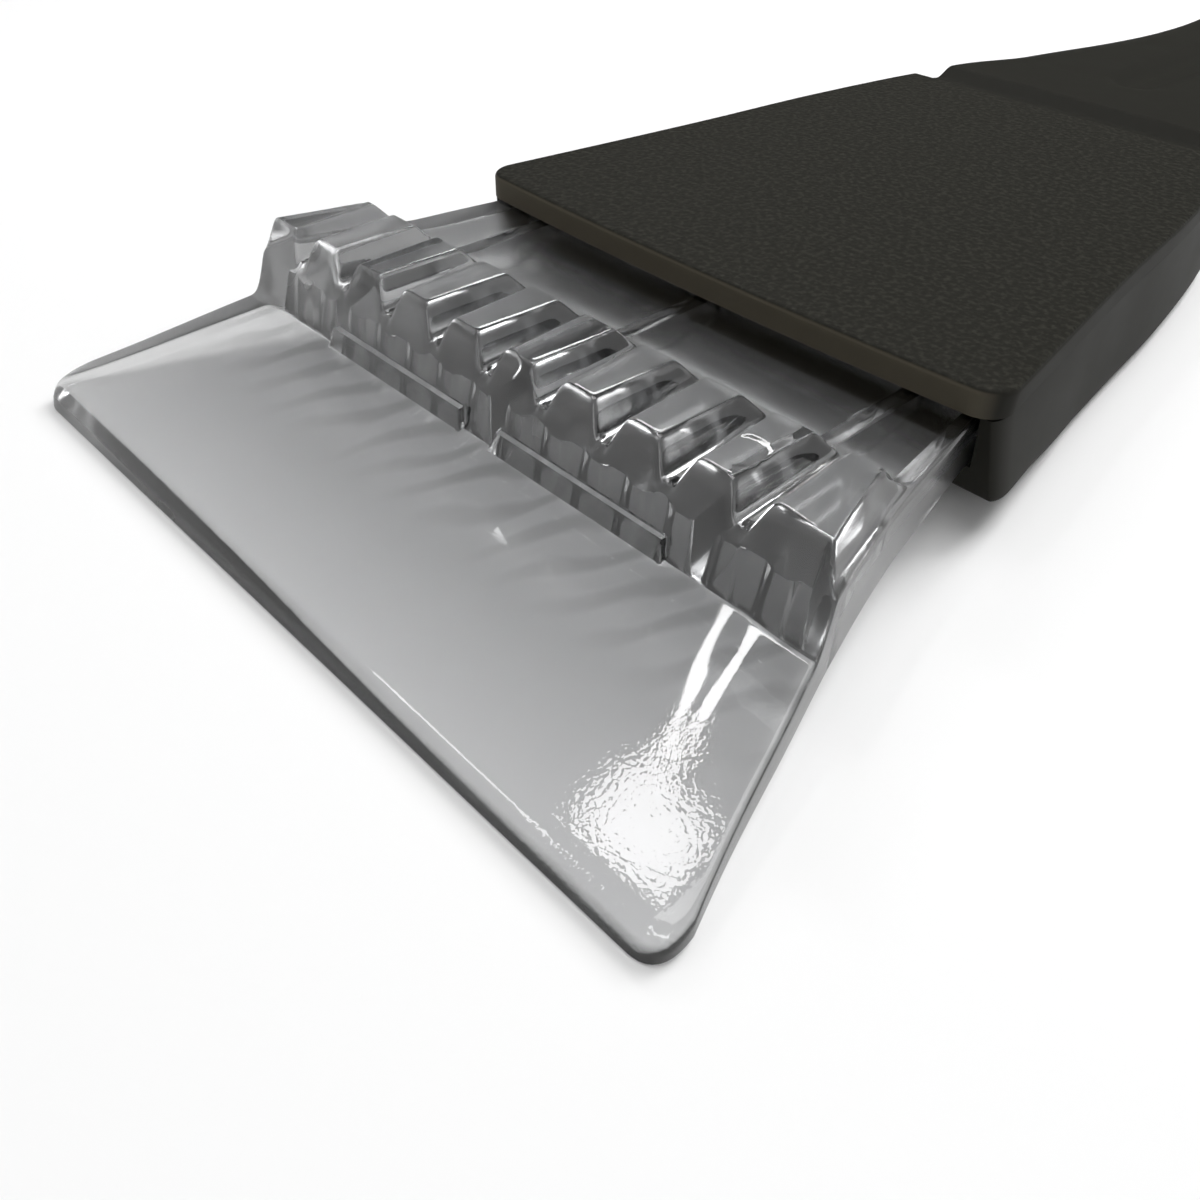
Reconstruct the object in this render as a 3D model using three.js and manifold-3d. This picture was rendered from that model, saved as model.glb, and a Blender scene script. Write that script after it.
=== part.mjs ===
// Hand ice scraper: a clear toothed blade clamped between the two halves of a dark handle.
// Millimetres, +Z up. The blade points to -Y, the handle to +Y, and the tool lies flat on z = 0.
// Places along the tool are given as a run, the distance behind the blade's front edge.
import * as THREE from 'three';
import { mergeVertices } from 'three/addons/utils/BufferGeometryUtils.js';
import Module from 'manifold-3d';

const wasm = await Module();
wasm.setup();

// Whole tool
const LENGTH = 270;
const GAP = 0.3;
const OVERSHOOT = 1;

// Blade: a wedge that thickens towards the block, with sides that sweep in to the handle
const BLADE_SIDE = [
  [0, 55.9], [11, 51.9], [22, 48.5], [33.5, 44.9], [46, 41.7], [57, 39.8], [64, 38.6], [70, 38.3],
];
const BLADE_SIDE_STEPS = 16;
const BLADE_CORNER = 4.5;
const EDGE_HEIGHT = 2.6;
const EDGE_LEAN = 0.6;
const UNDERSIDE_SLOPE = 0.13;
const FOOT_RUN = 27.8;
const FOOT_Z = 9.2;

// Block with the ice-breaker teeth
const FACE_RUN = 30.6;
const TOOTH_TOP_Z = 19.4;
const TOOTH_EDGE = 0.7;
const TOOTH_BACK_RUN = 42.6;
const TOOTH_PITCH = 9;
const GROOVE_COUNT = 9;
const GROOVE_SHIFT = -1.2;
const GROOVE_DEPTH = 4.1;
const GROOVE_TOP_HALF = 2.4;
const GROOVE_BOTTOM_HALF = 1;
const GROOVE_RISE = THREE.MathUtils.degToRad(5);
const BLOCK_END_INSET = 0.9;
const BLOCK_END_LEAN = 1.4;
const BLOCK_END_STEPS = 6;

// Two low pads on the blade, at the foot of the block
const PAD_INNER = 2.4;
const PAD_OUTER = 28.4;
const PAD_FRONT_RUN = 26.8;
const PAD_TOP_Z = 11.5;
const PAD_ROOT = 2;

// Deck behind the teeth, cored from below between three ribs, and the tongue in the handle
const DECK_Z = 15;
const DECK_RUN = 51;
const BACK_SLOPE_STEPS = 4;
const CORE_FRONT_RUN = 32;
const CORE_BACK_RUN = 66.5;
const CORE_CEILING_Z = 12.5;
const CORE_WALL = 3;
const CORE_STEPS = 8;
const CORE_RIB_X = [-30, 0, 30];
const CORE_RIB_THICKNESS = 2.2;
const BODY_BACK_RUN = 69;
const TONGUE_THICKNESS = 3;
const TONGUE_FRONT_HALF = 34;
const TONGUE_END_HALF = 29;
const TONGUE_END_RUN = 105;

// Handle outline and the two halves
const HANDLE_SIDE = [
  [60, 41.8], [74, 39.8], [88, 37.8], [103, 35.8], [126, 33.1], [151, 28.7], [155, 26.6], [157.5, 26.3],
  [172, 25], [187, 22.3], [201, 19.5], [216, 17.1], [231, 15.9], [245, 16], [258, 16.8], [270, 17.3],
];
const COVER_FRONT_RUN = 61.5;
const COVER_FRONT_BOW = 1.2;
const SHELL_FRONT_RUN = 63.7;
const FRONT_CORNER = 4;
const SHELL_CORNER_SHARE = 0.3;
const END_ROUND = 16;
const END_BLUNT = 0.97;
const COVER_END_DROP = 0.8;
const SHELL_END_LIFT = 5;
const COVER_SEAM_Z = 15.3;
const SHELL_SEAM_Z = 15;
const SHELL_INSET = 0.1;
const SHELL_FLARE = 1.8;
const SHELL_FRONT_FLARE = 0.12;
const SHELL_LEAN = 0.25;
const SHELL_LEAN_RUN = 30;
const PANEL_TOP_Z = 18.5;
const VALLEY_Z = 17.5;
const GRIP_TOP = [[157.5, 19], [180, 18.5], [205, 17.7], [230, 17.1], [250, 16.9], [270, 16.8]];
const PANEL_BACK_RUN = 151;
const VALLEY_RUNS = [153.2, 155];
const REAR_START_RUN = 157.5;
const BELLY = [[63.7, 4.6], [67.5, 4.1], [72, 3.2], [76, 2.4], [82, 1.4], [90, 0.5], [100, 0], [270, 0]];
const PANEL_EDGE = 1.2;
const GRIP_TOP_EDGE = 6;
const GRIP_TOP_DROP = 3;
const SHELL_EDGE = 2.4;
const GRIP_SHELL_EDGE = 7;
const GRIP_ROUND_RUN = 178;
const HANDLE_WALL = 2.6;
const COVER_CEILING_Z = 16.5;
const FLOOR_THICKNESS = 2.5;
const HOLLOW_EDGE = 1;
const HOLLOW_GRIP_EDGE = 5;
const EDGE_STEPS = 4;

// Runs of the handle's cross sections, measured from the front, along the tool and round the end
const CORNER_STEPS = [0, 0.3, 1, 2.2, FRONT_CORNER];
const PANEL_RUNS = [72, 78, 86, 95, 105, 116, 128, 140, PANEL_BACK_RUN];
const GRIP_RUNS = [163, 170, 178, 190, 203, 217, 231, 244];
const END_SHARES = [0, 0.35, 0.6, 0.8, 0.92, 1];

// Long recess in the top of the grip, with its floor hung below the cover
const RECESS_FRONT_RUN = 173;
const RECESS_BACK_RUN = 246;
const RECESS_HALF = 4.8;
const RECESS_DEPTH = 1.4;
const RECESS_WALL = 1.5;
const RECESS_FLOOR_Z = 14;

// Clamp ribs above and below the tongue
const CLAMP_RUNS = [75, 100];
const CLAMP_HALF = 26;
const CLAMP_THICKNESS = 2;

// Screws, their bosses in the cover and their wells in the shell
const SCREWS = {
  screw_front_left: [-22, 88],
  screw_front_right: [22, 88],
  screw_middle_left: [-15, 162],
  screw_middle_right: [15, 162],
  screw_rear: [0, 253],
};
const BOSS_RADIUS = 4;
const BOSS_BOTTOM_Z = 9.6;
const BORE_RADIUS = 1.7;
const BORE_TOP_Z = 15.3;
const WELL_RADIUS = 5.2;
const WELL_TOP_Z = 9.3;
const WELL_BORE_RADIUS = 3.6;
const WELL_SHOULDER_Z = 5;
const SHANK_HOLE_RADIUS = 1.8;
const HEAD_RADIUS = 3.2;
const HEAD_FLAT_RADIUS = 1.9;
const HEAD_BOTTOM_Z = 2.4;
const HEAD_RIM = 1;
const SHANK_RADIUS = 1.4;
const SHANK_TIP_Z = 14.6;
const CROSS_LENGTH = 3.4;
const CROSS_WIDTH = 0.9;
const CROSS_DEPTH = 1.3;
const ROUND_SIDES = 20;
const CURVE_SIDES = 5;

// Finishes
const clearPlastic = { color: 0xb9bcbf, roughness: 0.06, metalness: 0 };
const darkPlastic = { color: 0x34332f, roughness: 0.6, metalness: 0 };
const zincSteel = { color: 0x9a9b9d, roughness: 0.35, metalness: 1 };

// Closed geometry to a solid for cutting and joining, and back to a named mesh
function solid(geometry) {
  const bare = geometry.clone();
  bare.deleteAttribute('normal');
  bare.deleteAttribute('uv');
  const merged = mergeVertices(bare, 1e-5);
  const vertProperties = new Float32Array(merged.attributes.position.array);
  const triVerts = new Uint32Array(merged.index.array);
  return new wasm.Manifold(new wasm.Mesh({ numProp: 3, vertProperties, triVerts }));
}

function namedMesh(name, body, finish) {
  const { vertProperties, triVerts } = body.getMesh();
  const geometry = new THREE.BufferGeometry();
  geometry.setAttribute('position', new THREE.BufferAttribute(new Float32Array(vertProperties), 3));
  geometry.setIndex(new THREE.BufferAttribute(new Uint32Array(triVerts), 1));
  geometry.computeVertexNormals();
  const mesh = new THREE.Mesh(geometry, new THREE.MeshStandardMaterial(finish));
  mesh.name = name;
  return mesh;
}

// A smooth value through [run, value] stations, with slopes taken from the neighbours
function through(stations, run) {
  const last = stations.length - 1;
  let i = 0;
  while (i < last - 1 && run > stations[i + 1][0]) {
    i += 1;
  }
  const [runA, valueA] = stations[i];
  const [runB, valueB] = stations[i + 1];
  const before = stations[Math.max(i - 1, 0)];
  const after = stations[Math.min(i + 2, last)];
  const span = runB - runA;
  const slopeA = ((valueB - before[1]) / (runB - before[0])) * span;
  const slopeB = ((after[1] - valueA) / (after[0] - runA)) * span;
  const t = THREE.MathUtils.clamp((run - runA) / span, 0, 1);
  const rest = 1 - t;
  const ends = valueA * (1 + 2 * t) * rest * rest + valueB * (3 - 2 * t) * t * t;
  return ends + slopeA * t * rest * rest - slopeB * t * t * rest;
}

// Prisms: a plan outline (x, run) raised along Z, and a side profile (run, z) spread along X
function raise(outline, zLow, zHigh) {
  const options = { depth: zHigh - zLow, bevelEnabled: false, curveSegments: CURVE_SIDES };
  const geometry = new THREE.ExtrudeGeometry(outline, options);
  return solid(geometry.translate(0, 0, zLow));
}

function spread(profile, half) {
  const shape = new THREE.Shape(profile.map(([run, z]) => new THREE.Vector2(run, z)));
  const geometry = new THREE.ExtrudeGeometry(shape, { depth: 2 * half, bevelEnabled: false });
  geometry.translate(0, 0, -half);
  const along = new THREE.Matrix4().makeBasis(
    new THREE.Vector3(0, 1, 0),
    new THREE.Vector3(0, 0, 1),
    new THREE.Vector3(1, 0, 0),
  );
  return solid(geometry.applyMatrix4(along));
}

function block(xLow, xHigh, runLow, runHigh, zLow, zHigh) {
  const geometry = new THREE.BoxGeometry(xHigh - xLow, runHigh - runLow, zHigh - zLow);
  return solid(geometry.translate((xLow + xHigh) / 2, (runLow + runHigh) / 2, (zLow + zHigh) / 2));
}

function post([x, run], radius, zLow, zHigh) {
  const geometry = new THREE.CylinderGeometry(radius, radius, zHigh - zLow, ROUND_SIDES);
  geometry.rotateX(Math.PI / 2);
  return solid(geometry.translate(x, run, (zLow + zHigh) / 2));
}

// A closed skin over rings of equal point count, with flat ends
function loft(rings) {
  const count = rings[0].length;
  const positions = rings.flat().flatMap((point) => point.toArray());
  const index = [];
  for (let r = 0; r + 1 < rings.length; r += 1) {
    for (let i = 0; i < count; i += 1) {
      const a = r * count + i;
      const b = r * count + ((i + 1) % count);
      index.push(a, b, a + count, b, b + count, a + count);
    }
  }
  const flat = rings[0].map((point) => new THREE.Vector2(point.x, point.z));
  const cap = THREE.ShapeUtils.triangulateShape(flat, []);
  const lastRing = (rings.length - 1) * count;
  for (const [a, b, c] of cap) {
    index.push(a, b, c, lastRing + a, lastRing + c, lastRing + b);
  }
  const geometry = new THREE.BufferGeometry();
  geometry.setAttribute('position', new THREE.Float32BufferAttribute(positions, 3));
  geometry.setIndex(index);
  return solid(geometry);
}

// Blade
function bladeHalfWidth(run) {
  return through(BLADE_SIDE, run);
}

function bladeSide(fromRun, toRun, steps, inset) {
  const points = [];
  for (let i = 0; i <= steps; i += 1) {
    const run = THREE.MathUtils.lerp(fromRun, toRun, i / steps);
    points.push(new THREE.Vector2(bladeHalfWidth(run) - inset, run));
  }
  return points;
}

function mirrored(points) {
  return points.map((point) => new THREE.Vector2(-point.x, point.y)).reverse();
}

function bladeOutline() {
  const side = bladeSide(BLADE_CORNER, BODY_BACK_RUN, BLADE_SIDE_STEPS, 0);
  const tongue = [
    new THREE.Vector2(TONGUE_FRONT_HALF, BODY_BACK_RUN),
    new THREE.Vector2(TONGUE_END_HALF, TONGUE_END_RUN),
  ];
  const right = [...side, ...tongue];
  const left = mirrored(right);
  const corner = bladeHalfWidth(0);
  const outline = new THREE.Shape();
  outline.moveTo(BLADE_CORNER - corner, 0);
  outline.lineTo(corner - BLADE_CORNER, 0);
  outline.quadraticCurveTo(corner - 1, 0, right[0].x, right[0].y);
  for (const point of [...right.slice(1), ...left]) {
    outline.lineTo(point.x, point.y);
  }
  outline.quadraticCurveTo(1 - corner, 0, BLADE_CORNER - corner, 0);
  return outline;
}

function bladeProfile() {
  const slopeRuns = DECK_RUN - TOOTH_BACK_RUN;
  const slopeDrop = TOOTH_TOP_Z - DECK_Z;
  const backSlope = [];
  for (let i = BACK_SLOPE_STEPS; i >= 0; i -= 1) {
    const t = i / BACK_SLOPE_STEPS;
    backSlope.push([TOOTH_BACK_RUN + slopeRuns * t, DECK_Z + slopeDrop * (1 - t) * (1 - t)]);
  }
  return [
    [0, 0],
    [BODY_BACK_RUN, UNDERSIDE_SLOPE * BODY_BACK_RUN],
    [BODY_BACK_RUN, DECK_Z - TONGUE_THICKNESS],
    [TONGUE_END_RUN, DECK_Z - TONGUE_THICKNESS],
    [TONGUE_END_RUN, DECK_Z],
    ...backSlope,
    [FACE_RUN + TOOTH_EDGE, TOOTH_TOP_Z],
    [FACE_RUN, TOOTH_TOP_Z - TOOTH_EDGE],
    [FOOT_RUN, FOOT_Z],
    [EDGE_LEAN, EDGE_HEIGHT],
  ];
}

// The block's ends stand a little inside the deck's sides and lean in
function blockEnds() {
  const frontRun = FOOT_RUN - OVERSHOOT;
  const zHigh = TOOTH_TOP_Z + OVERSHOOT;
  const inside = bladeSide(frontRun, DECK_RUN, BLOCK_END_STEPS, BLOCK_END_INSET);
  const outside = bladeSide(frontRun, DECK_RUN, BLOCK_END_STEPS, -BLADE_CORNER);
  const right = new THREE.Shape([...inside, ...outside.reverse()]);
  const left = new THREE.Shape(mirrored(right.getPoints()));
  const lean = Math.atan2(BLOCK_END_LEAN, TOOTH_TOP_Z - DECK_Z);
  const cuts = [];
  for (const [shape, sign] of [[right, 1], [left, -1]]) {
    const geometry = new THREE.ExtrudeGeometry(shape, { depth: zHigh - DECK_Z, bevelEnabled: false });
    const shear = new THREE.Matrix4().makeShear(0, 0, 0, 0, -sign * Math.tan(lean), 0);
    geometry.applyMatrix4(shear);
    cuts.push(solid(geometry.translate(0, 0, DECK_Z)));
  }
  return cuts;
}

function groove(x) {
  const bottomZ = TOOTH_TOP_Z - GROOVE_DEPTH;
  const wall = (GROOVE_TOP_HALF - GROOVE_BOTTOM_HALF) / GROOVE_DEPTH;
  const openHalf = GROOVE_TOP_HALF + wall * GROOVE_DEPTH;
  const length = DECK_RUN - FOOT_RUN + 2 * OVERSHOOT;
  const section = new THREE.Shape();
  section.moveTo(-openHalf, 2 * GROOVE_DEPTH);
  section.lineTo(-GROOVE_BOTTOM_HALF, GROOVE_BOTTOM_HALF / 2);
  section.quadraticCurveTo(0, -GROOVE_BOTTOM_HALF / 2, GROOVE_BOTTOM_HALF, GROOVE_BOTTOM_HALF / 2);
  section.lineTo(openHalf, 2 * GROOVE_DEPTH);
  const options = { depth: length, bevelEnabled: false, curveSegments: CURVE_SIDES };
  const geometry = new THREE.ExtrudeGeometry(section, options);
  geometry.translate(0, 0, -length);
  geometry.rotateX(Math.PI / 2 + GROOVE_RISE);
  return solid(geometry.translate(x, FOOT_RUN - OVERSHOOT, bottomZ));
}

function cores() {
  const side = bladeSide(CORE_FRONT_RUN, CORE_BACK_RUN, CORE_STEPS, CORE_WALL);
  let open = raise(new THREE.Shape([...side, ...mirrored(side)]), -OVERSHOOT, CORE_CEILING_Z);
  const half = CORE_RIB_THICKNESS / 2;
  const frontRun = CORE_FRONT_RUN - OVERSHOOT;
  const backRun = CORE_BACK_RUN + OVERSHOOT;
  for (const x of CORE_RIB_X) {
    open = open.subtract(block(x - half, x + half, frontRun, backRun, -2 * OVERSHOOT, DECK_Z));
  }
  return open;
}

function scraperBlade() {
  let blade = raise(bladeOutline(), -OVERSHOOT, TOOTH_TOP_Z + OVERSHOOT);
  blade = blade.intersect(spread(bladeProfile(), bladeHalfWidth(0) + OVERSHOOT));
  for (const cut of blockEnds()) {
    blade = blade.subtract(cut);
  }
  for (let k = 0; k < GROOVE_COUNT; k += 1) {
    blade = blade.subtract(groove(GROOVE_SHIFT + (k - (GROOVE_COUNT - 1) / 2) * TOOTH_PITCH));
  }
  const padBackRun = FACE_RUN + TOOTH_EDGE;
  for (const [low, high] of [[-PAD_OUTER, -PAD_INNER], [PAD_INNER, PAD_OUTER]]) {
    blade = blade.add(block(low, high, PAD_FRONT_RUN, padBackRun, FOOT_Z - PAD_ROOT, PAD_TOP_Z));
  }
  blade = blade.subtract(cores());
  const tongueLow = DECK_Z - TONGUE_THICKNESS - OVERSHOOT;
  for (const place of [SCREWS.screw_front_left, SCREWS.screw_front_right]) {
    blade = blade.subtract(post(place, BOSS_RADIUS + GAP, tongueLow, DECK_Z + OVERSHOOT));
  }
  return blade;
}

// Handle
function endTurn(run) {
  return END_BLUNT * THREE.MathUtils.clamp((run - LENGTH + END_ROUND) / END_ROUND, 0, 1);
}

// How far a rounded end has closed in: nothing at the start of the rounding, nearly 1 at the tip
function endClosing(run) {
  const turn = endTurn(run);
  return 1 - Math.sqrt(1 - turn * turn);
}

function frontTurn(run, frontRun) {
  const back = THREE.MathUtils.clamp(FRONT_CORNER - (run - frontRun), 0, FRONT_CORNER);
  return FRONT_CORNER - Math.sqrt(FRONT_CORNER ** 2 - back ** 2);
}

function handleHalfWidth(run) {
  return through(HANDLE_SIDE, run) * (1 - endClosing(run));
}

function coverTop(run) {
  if (run <= PANEL_BACK_RUN) {
    return PANEL_TOP_Z;
  }
  if (run < REAR_START_RUN) {
    return VALLEY_Z;
  }
  return through(GRIP_TOP, run) - COVER_END_DROP * endClosing(run);
}

function belly(run) {
  return Math.max(0, through(BELLY, run));
}

function gripShare(run) {
  return THREE.MathUtils.smoothstep(run, REAR_START_RUN, GRIP_ROUND_RUN);
}

// Half a section from its flat edge round the far corner to the middle, then mirrored
function section(run, half, flatZ, farZ, roundX, roundZ) {
  const toward = Math.sign(farZ - flatZ);
  const right = [new THREE.Vector3(half, run, flatZ)];
  for (let i = 0; i <= EDGE_STEPS; i += 1) {
    const angle = ((Math.PI / 2) * i) / EDGE_STEPS;
    const x = half - roundX * (1 - Math.cos(angle));
    const z = farZ - toward * roundZ * (1 - Math.sin(angle));
    right.push(new THREE.Vector3(x, run, z));
  }
  const left = right.map((point) => new THREE.Vector3(-point.x, run, point.z)).reverse();
  const ring = [...right, ...left];
  return toward > 0 ? ring.reverse() : ring;
}

function handleRuns(frontRun, backRun) {
  const corner = CORNER_STEPS.map((step) => frontRun + step);
  const end = END_SHARES.map((share) => LENGTH - END_ROUND * (1 - share));
  const behind = [...PANEL_RUNS, ...VALLEY_RUNS, REAR_START_RUN, ...GRIP_RUNS, ...end];
  return [...corner, ...behind.filter((run) => run > frontRun + FRONT_CORNER && run <= backRun)];
}

// The cover's front edge bows: its ends lie further back than its middle
function coverSkin() {
  const rings = handleRuns(COVER_FRONT_RUN, LENGTH).map((run) => {
    const half = handleHalfWidth(run) - frontTurn(run, COVER_FRONT_RUN);
    const top = coverTop(run);
    const share = gripShare(run);
    const roundX = Math.min(THREE.MathUtils.lerp(PANEL_EDGE, GRIP_TOP_EDGE, share), half - GAP);
    const roundZ = Math.min(THREE.MathUtils.lerp(PANEL_EDGE, GRIP_TOP_DROP, share), top - COVER_SEAM_Z - GAP);
    return section(run, half, COVER_SEAM_Z, top, roundX, roundZ);
  });
  for (const point of rings.flat()) {
    const back = (point.y - COVER_FRONT_RUN) / (PANEL_BACK_RUN - COVER_FRONT_RUN);
    const across = point.x / HANDLE_SIDE[0][1];
    point.y += COVER_FRONT_BOW * Math.max(0, 1 - back) * across * across;
  }
  return loft(rings);
}

// The shell's sides flare towards the floor, and its front leans back under the blade
function shellSkin() {
  const rings = handleRuns(SHELL_FRONT_RUN, LENGTH).map((run) => {
    const turn = SHELL_CORNER_SHARE * frontTurn(run, SHELL_FRONT_RUN);
    const half = handleHalfWidth(run) - turn - SHELL_INSET;
    const share = gripShare(run);
    const round = Math.min(THREE.MathUtils.lerp(SHELL_EDGE, GRIP_SHELL_EDGE, share), half - GAP);
    const bottom = belly(run) + SHELL_END_LIFT * endClosing(run);
    return section(run, half, SHELL_SEAM_Z, bottom, round, round);
  });
  for (const point of rings.flat()) {
    const down = SHELL_SEAM_Z - point.z;
    const front = THREE.MathUtils.clamp(1 - (point.y - SHELL_FRONT_RUN) / SHELL_LEAN_RUN, 0, 1);
    const flare = (SHELL_FLARE / SHELL_SEAM_Z) * (1 - gripShare(point.y)) + SHELL_FRONT_FLARE * front;
    point.x += Math.sign(point.x) * flare * down;
    point.y += SHELL_LEAN * front * down;
  }
  return loft(rings);
}

function hollow(backRun, flatZ, farZAt) {
  const rings = handleRuns(BODY_BACK_RUN + OVERSHOOT, backRun).map((run) => {
    const half = handleHalfWidth(run) - HANDLE_WALL - SHELL_INSET;
    const round = THREE.MathUtils.lerp(HOLLOW_EDGE, HOLLOW_GRIP_EDGE, gripShare(run));
    return section(run, half, flatZ, farZAt(run), round, round);
  });
  return loft(rings);
}

function recess() {
  const slot = new THREE.Shape();
  slot.absarc(0, RECESS_BACK_RUN - RECESS_HALF, RECESS_HALF, 0, Math.PI);
  slot.absarc(0, RECESS_FRONT_RUN + RECESS_HALF, RECESS_HALF, Math.PI, 2 * Math.PI);
  const ends = [RECESS_FRONT_RUN, RECESS_BACK_RUN];
  const [frontZ, backZ] = ends.map((run) => coverTop(run) - RECESS_DEPTH);
  const high = coverTop(RECESS_FRONT_RUN) + OVERSHOOT;
  const side = [[ends[0], frontZ], [ends[1], backZ], [ends[1], high], [ends[0], high]];
  return raise(slot, RECESS_FLOOR_Z, high).intersect(spread(side, RECESS_HALF + OVERSHOOT));
}

function upperCover() {
  let cover = coverSkin();
  cover = cover.subtract(hollow(PANEL_RUNS.at(-2), COVER_SEAM_Z - OVERSHOOT, () => COVER_CEILING_Z));
  const trayHalf = RECESS_HALF + RECESS_WALL;
  const trayFront = RECESS_FRONT_RUN - RECESS_WALL;
  const trayBack = RECESS_BACK_RUN + RECESS_WALL;
  const trayTop = COVER_SEAM_Z + GAP;
  cover = cover.add(block(-trayHalf, trayHalf, trayFront, trayBack, RECESS_FLOOR_Z, trayTop));
  cover = cover.subtract(recess());
  const ribTop = COVER_CEILING_Z + OVERSHOOT;
  for (const run of CLAMP_RUNS) {
    const rib = block(-CLAMP_HALF, CLAMP_HALF, run, run + CLAMP_THICKNESS, DECK_Z + GAP, ribTop);
    cover = cover.add(rib);
  }
  for (const place of Object.values(SCREWS)) {
    cover = cover.add(post(place, BOSS_RADIUS, BOSS_BOTTOM_Z, COVER_CEILING_Z + GAP));
    cover = cover.subtract(post(place, BORE_RADIUS, BOSS_BOTTOM_Z - OVERSHOOT, BORE_TOP_Z));
  }
  return cover;
}

// The opening that the blade's rear end enters
function mouth() {
  const half = bladeHalfWidth(SHELL_FRONT_RUN) + GAP;
  const runs = [SHELL_FRONT_RUN - OVERSHOOT, BODY_BACK_RUN + 2 * OVERSHOOT];
  const [frontZ, backZ] = runs.map((run) => UNDERSIDE_SLOPE * run - GAP);
  const ceiling = SHELL_SEAM_Z + OVERSHOOT;
  return spread([[runs[0], frontZ], [runs[1], backZ], [runs[1], ceiling], [runs[0], ceiling]], half);
}

function lowerShell() {
  const floorAt = (run) => belly(run) + FLOOR_THICKNESS;
  const inside = hollow(LENGTH - END_ROUND / 2, SHELL_SEAM_Z + OVERSHOOT, floorAt);
  let shell = shellSkin().subtract(inside).subtract(mouth());
  const ribTop = DECK_Z - TONGUE_THICKNESS - GAP;
  for (const run of CLAMP_RUNS) {
    const ribBottom = belly(run) + OVERSHOOT;
    shell = shell.add(block(-CLAMP_HALF, CLAMP_HALF, run, run + CLAMP_THICKNESS, ribBottom, ribTop));
  }
  for (const place of Object.values(SCREWS)) {
    shell = shell.add(post(place, WELL_RADIUS, OVERSHOOT, WELL_TOP_Z));
    shell = shell.subtract(post(place, WELL_BORE_RADIUS, -OVERSHOOT, WELL_SHOULDER_Z));
    shell = shell.subtract(post(place, SHANK_HOLE_RADIUS, 0, WELL_TOP_Z + OVERSHOOT));
  }
  return shell;
}

// A pan-head screw with a cross slot, head down
function screw([x, run]) {
  const headTop = WELL_SHOULDER_Z - GAP;
  const profile = [
    [0, HEAD_BOTTOM_Z],
    [HEAD_FLAT_RADIUS, HEAD_BOTTOM_Z],
    [HEAD_RADIUS, headTop - HEAD_RIM],
    [HEAD_RADIUS, headTop],
    [SHANK_RADIUS, headTop],
    [SHANK_RADIUS, SHANK_TIP_Z - SHANK_RADIUS],
    [0, SHANK_TIP_Z],
  ].map(([radius, z]) => new THREE.Vector2(radius, z));
  const geometry = new THREE.LatheGeometry(profile, ROUND_SIDES).rotateX(Math.PI / 2);
  const turned = solid(geometry.translate(x, run, 0));
  const long = CROSS_LENGTH / 2;
  const thin = CROSS_WIDTH / 2;
  const slotTop = HEAD_BOTTOM_Z + CROSS_DEPTH;
  const across = block(x - long, x + long, run - thin, run + thin, 0, slotTop);
  const along = block(x - thin, x + thin, run - long, run + long, 0, slotTop);
  return turned.subtract(across).subtract(along);
}

const iceScraper = new THREE.Group();
iceScraper.add(namedMesh('scraper_blade', scraperBlade(), clearPlastic));
iceScraper.add(namedMesh('upper_cover', upperCover(), darkPlastic));
iceScraper.add(namedMesh('lower_shell', lowerShell(), darkPlastic));
for (const [name, place] of Object.entries(SCREWS)) {
  iceScraper.add(namedMesh(name, screw(place), zincSteel));
}
iceScraper.position.y = -LENGTH / 2;

export default iceScraper;
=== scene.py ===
"""Hand ice scraper: a clear toothed blade clamped in a dark two-part handle.

Lengths in the tables below are millimetres. A run is the distance behind the blade's front edge.
"""
import math

import bpy
import numpy as np
from bpy.props import FloatProperty, FloatVectorProperty, IntProperty, PointerProperty
from mathutils import Matrix, Vector
from mathutils.kdtree import KDTree


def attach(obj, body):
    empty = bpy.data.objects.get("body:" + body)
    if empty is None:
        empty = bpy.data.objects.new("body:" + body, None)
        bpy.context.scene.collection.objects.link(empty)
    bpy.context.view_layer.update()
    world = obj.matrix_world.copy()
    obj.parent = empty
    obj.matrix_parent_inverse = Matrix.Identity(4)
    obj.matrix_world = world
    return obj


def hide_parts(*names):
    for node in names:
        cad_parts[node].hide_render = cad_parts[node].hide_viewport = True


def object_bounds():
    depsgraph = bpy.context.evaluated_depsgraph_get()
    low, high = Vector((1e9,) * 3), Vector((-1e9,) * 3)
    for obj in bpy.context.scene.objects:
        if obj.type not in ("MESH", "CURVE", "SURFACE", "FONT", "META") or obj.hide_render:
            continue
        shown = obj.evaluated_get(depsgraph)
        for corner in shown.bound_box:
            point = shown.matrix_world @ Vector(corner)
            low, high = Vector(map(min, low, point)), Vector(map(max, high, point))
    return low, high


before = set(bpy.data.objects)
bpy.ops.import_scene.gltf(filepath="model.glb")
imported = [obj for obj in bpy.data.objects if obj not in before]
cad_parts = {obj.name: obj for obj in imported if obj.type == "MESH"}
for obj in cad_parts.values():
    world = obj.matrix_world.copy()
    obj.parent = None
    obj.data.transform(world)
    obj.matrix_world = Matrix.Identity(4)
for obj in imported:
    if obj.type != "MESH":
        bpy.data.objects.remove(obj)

bl_info = {
    "name": "Ice Scraper",
    "version": (1, 0, 0),
    "blender": (4, 5, 0),
    "location": "View3D > Sidebar > Ice Scraper",
    "description": "Builds a hand ice scraper with a clear toothed blade and a dark two-part handle",
    "category": "Object",
}

MM = 0.001
BODY = "root"
CAD_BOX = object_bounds()
LENGTH = round((CAD_BOX[1][1] - CAD_BOX[0][1]) / MM)
SHARP_ANGLE = math.radians(50)

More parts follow.
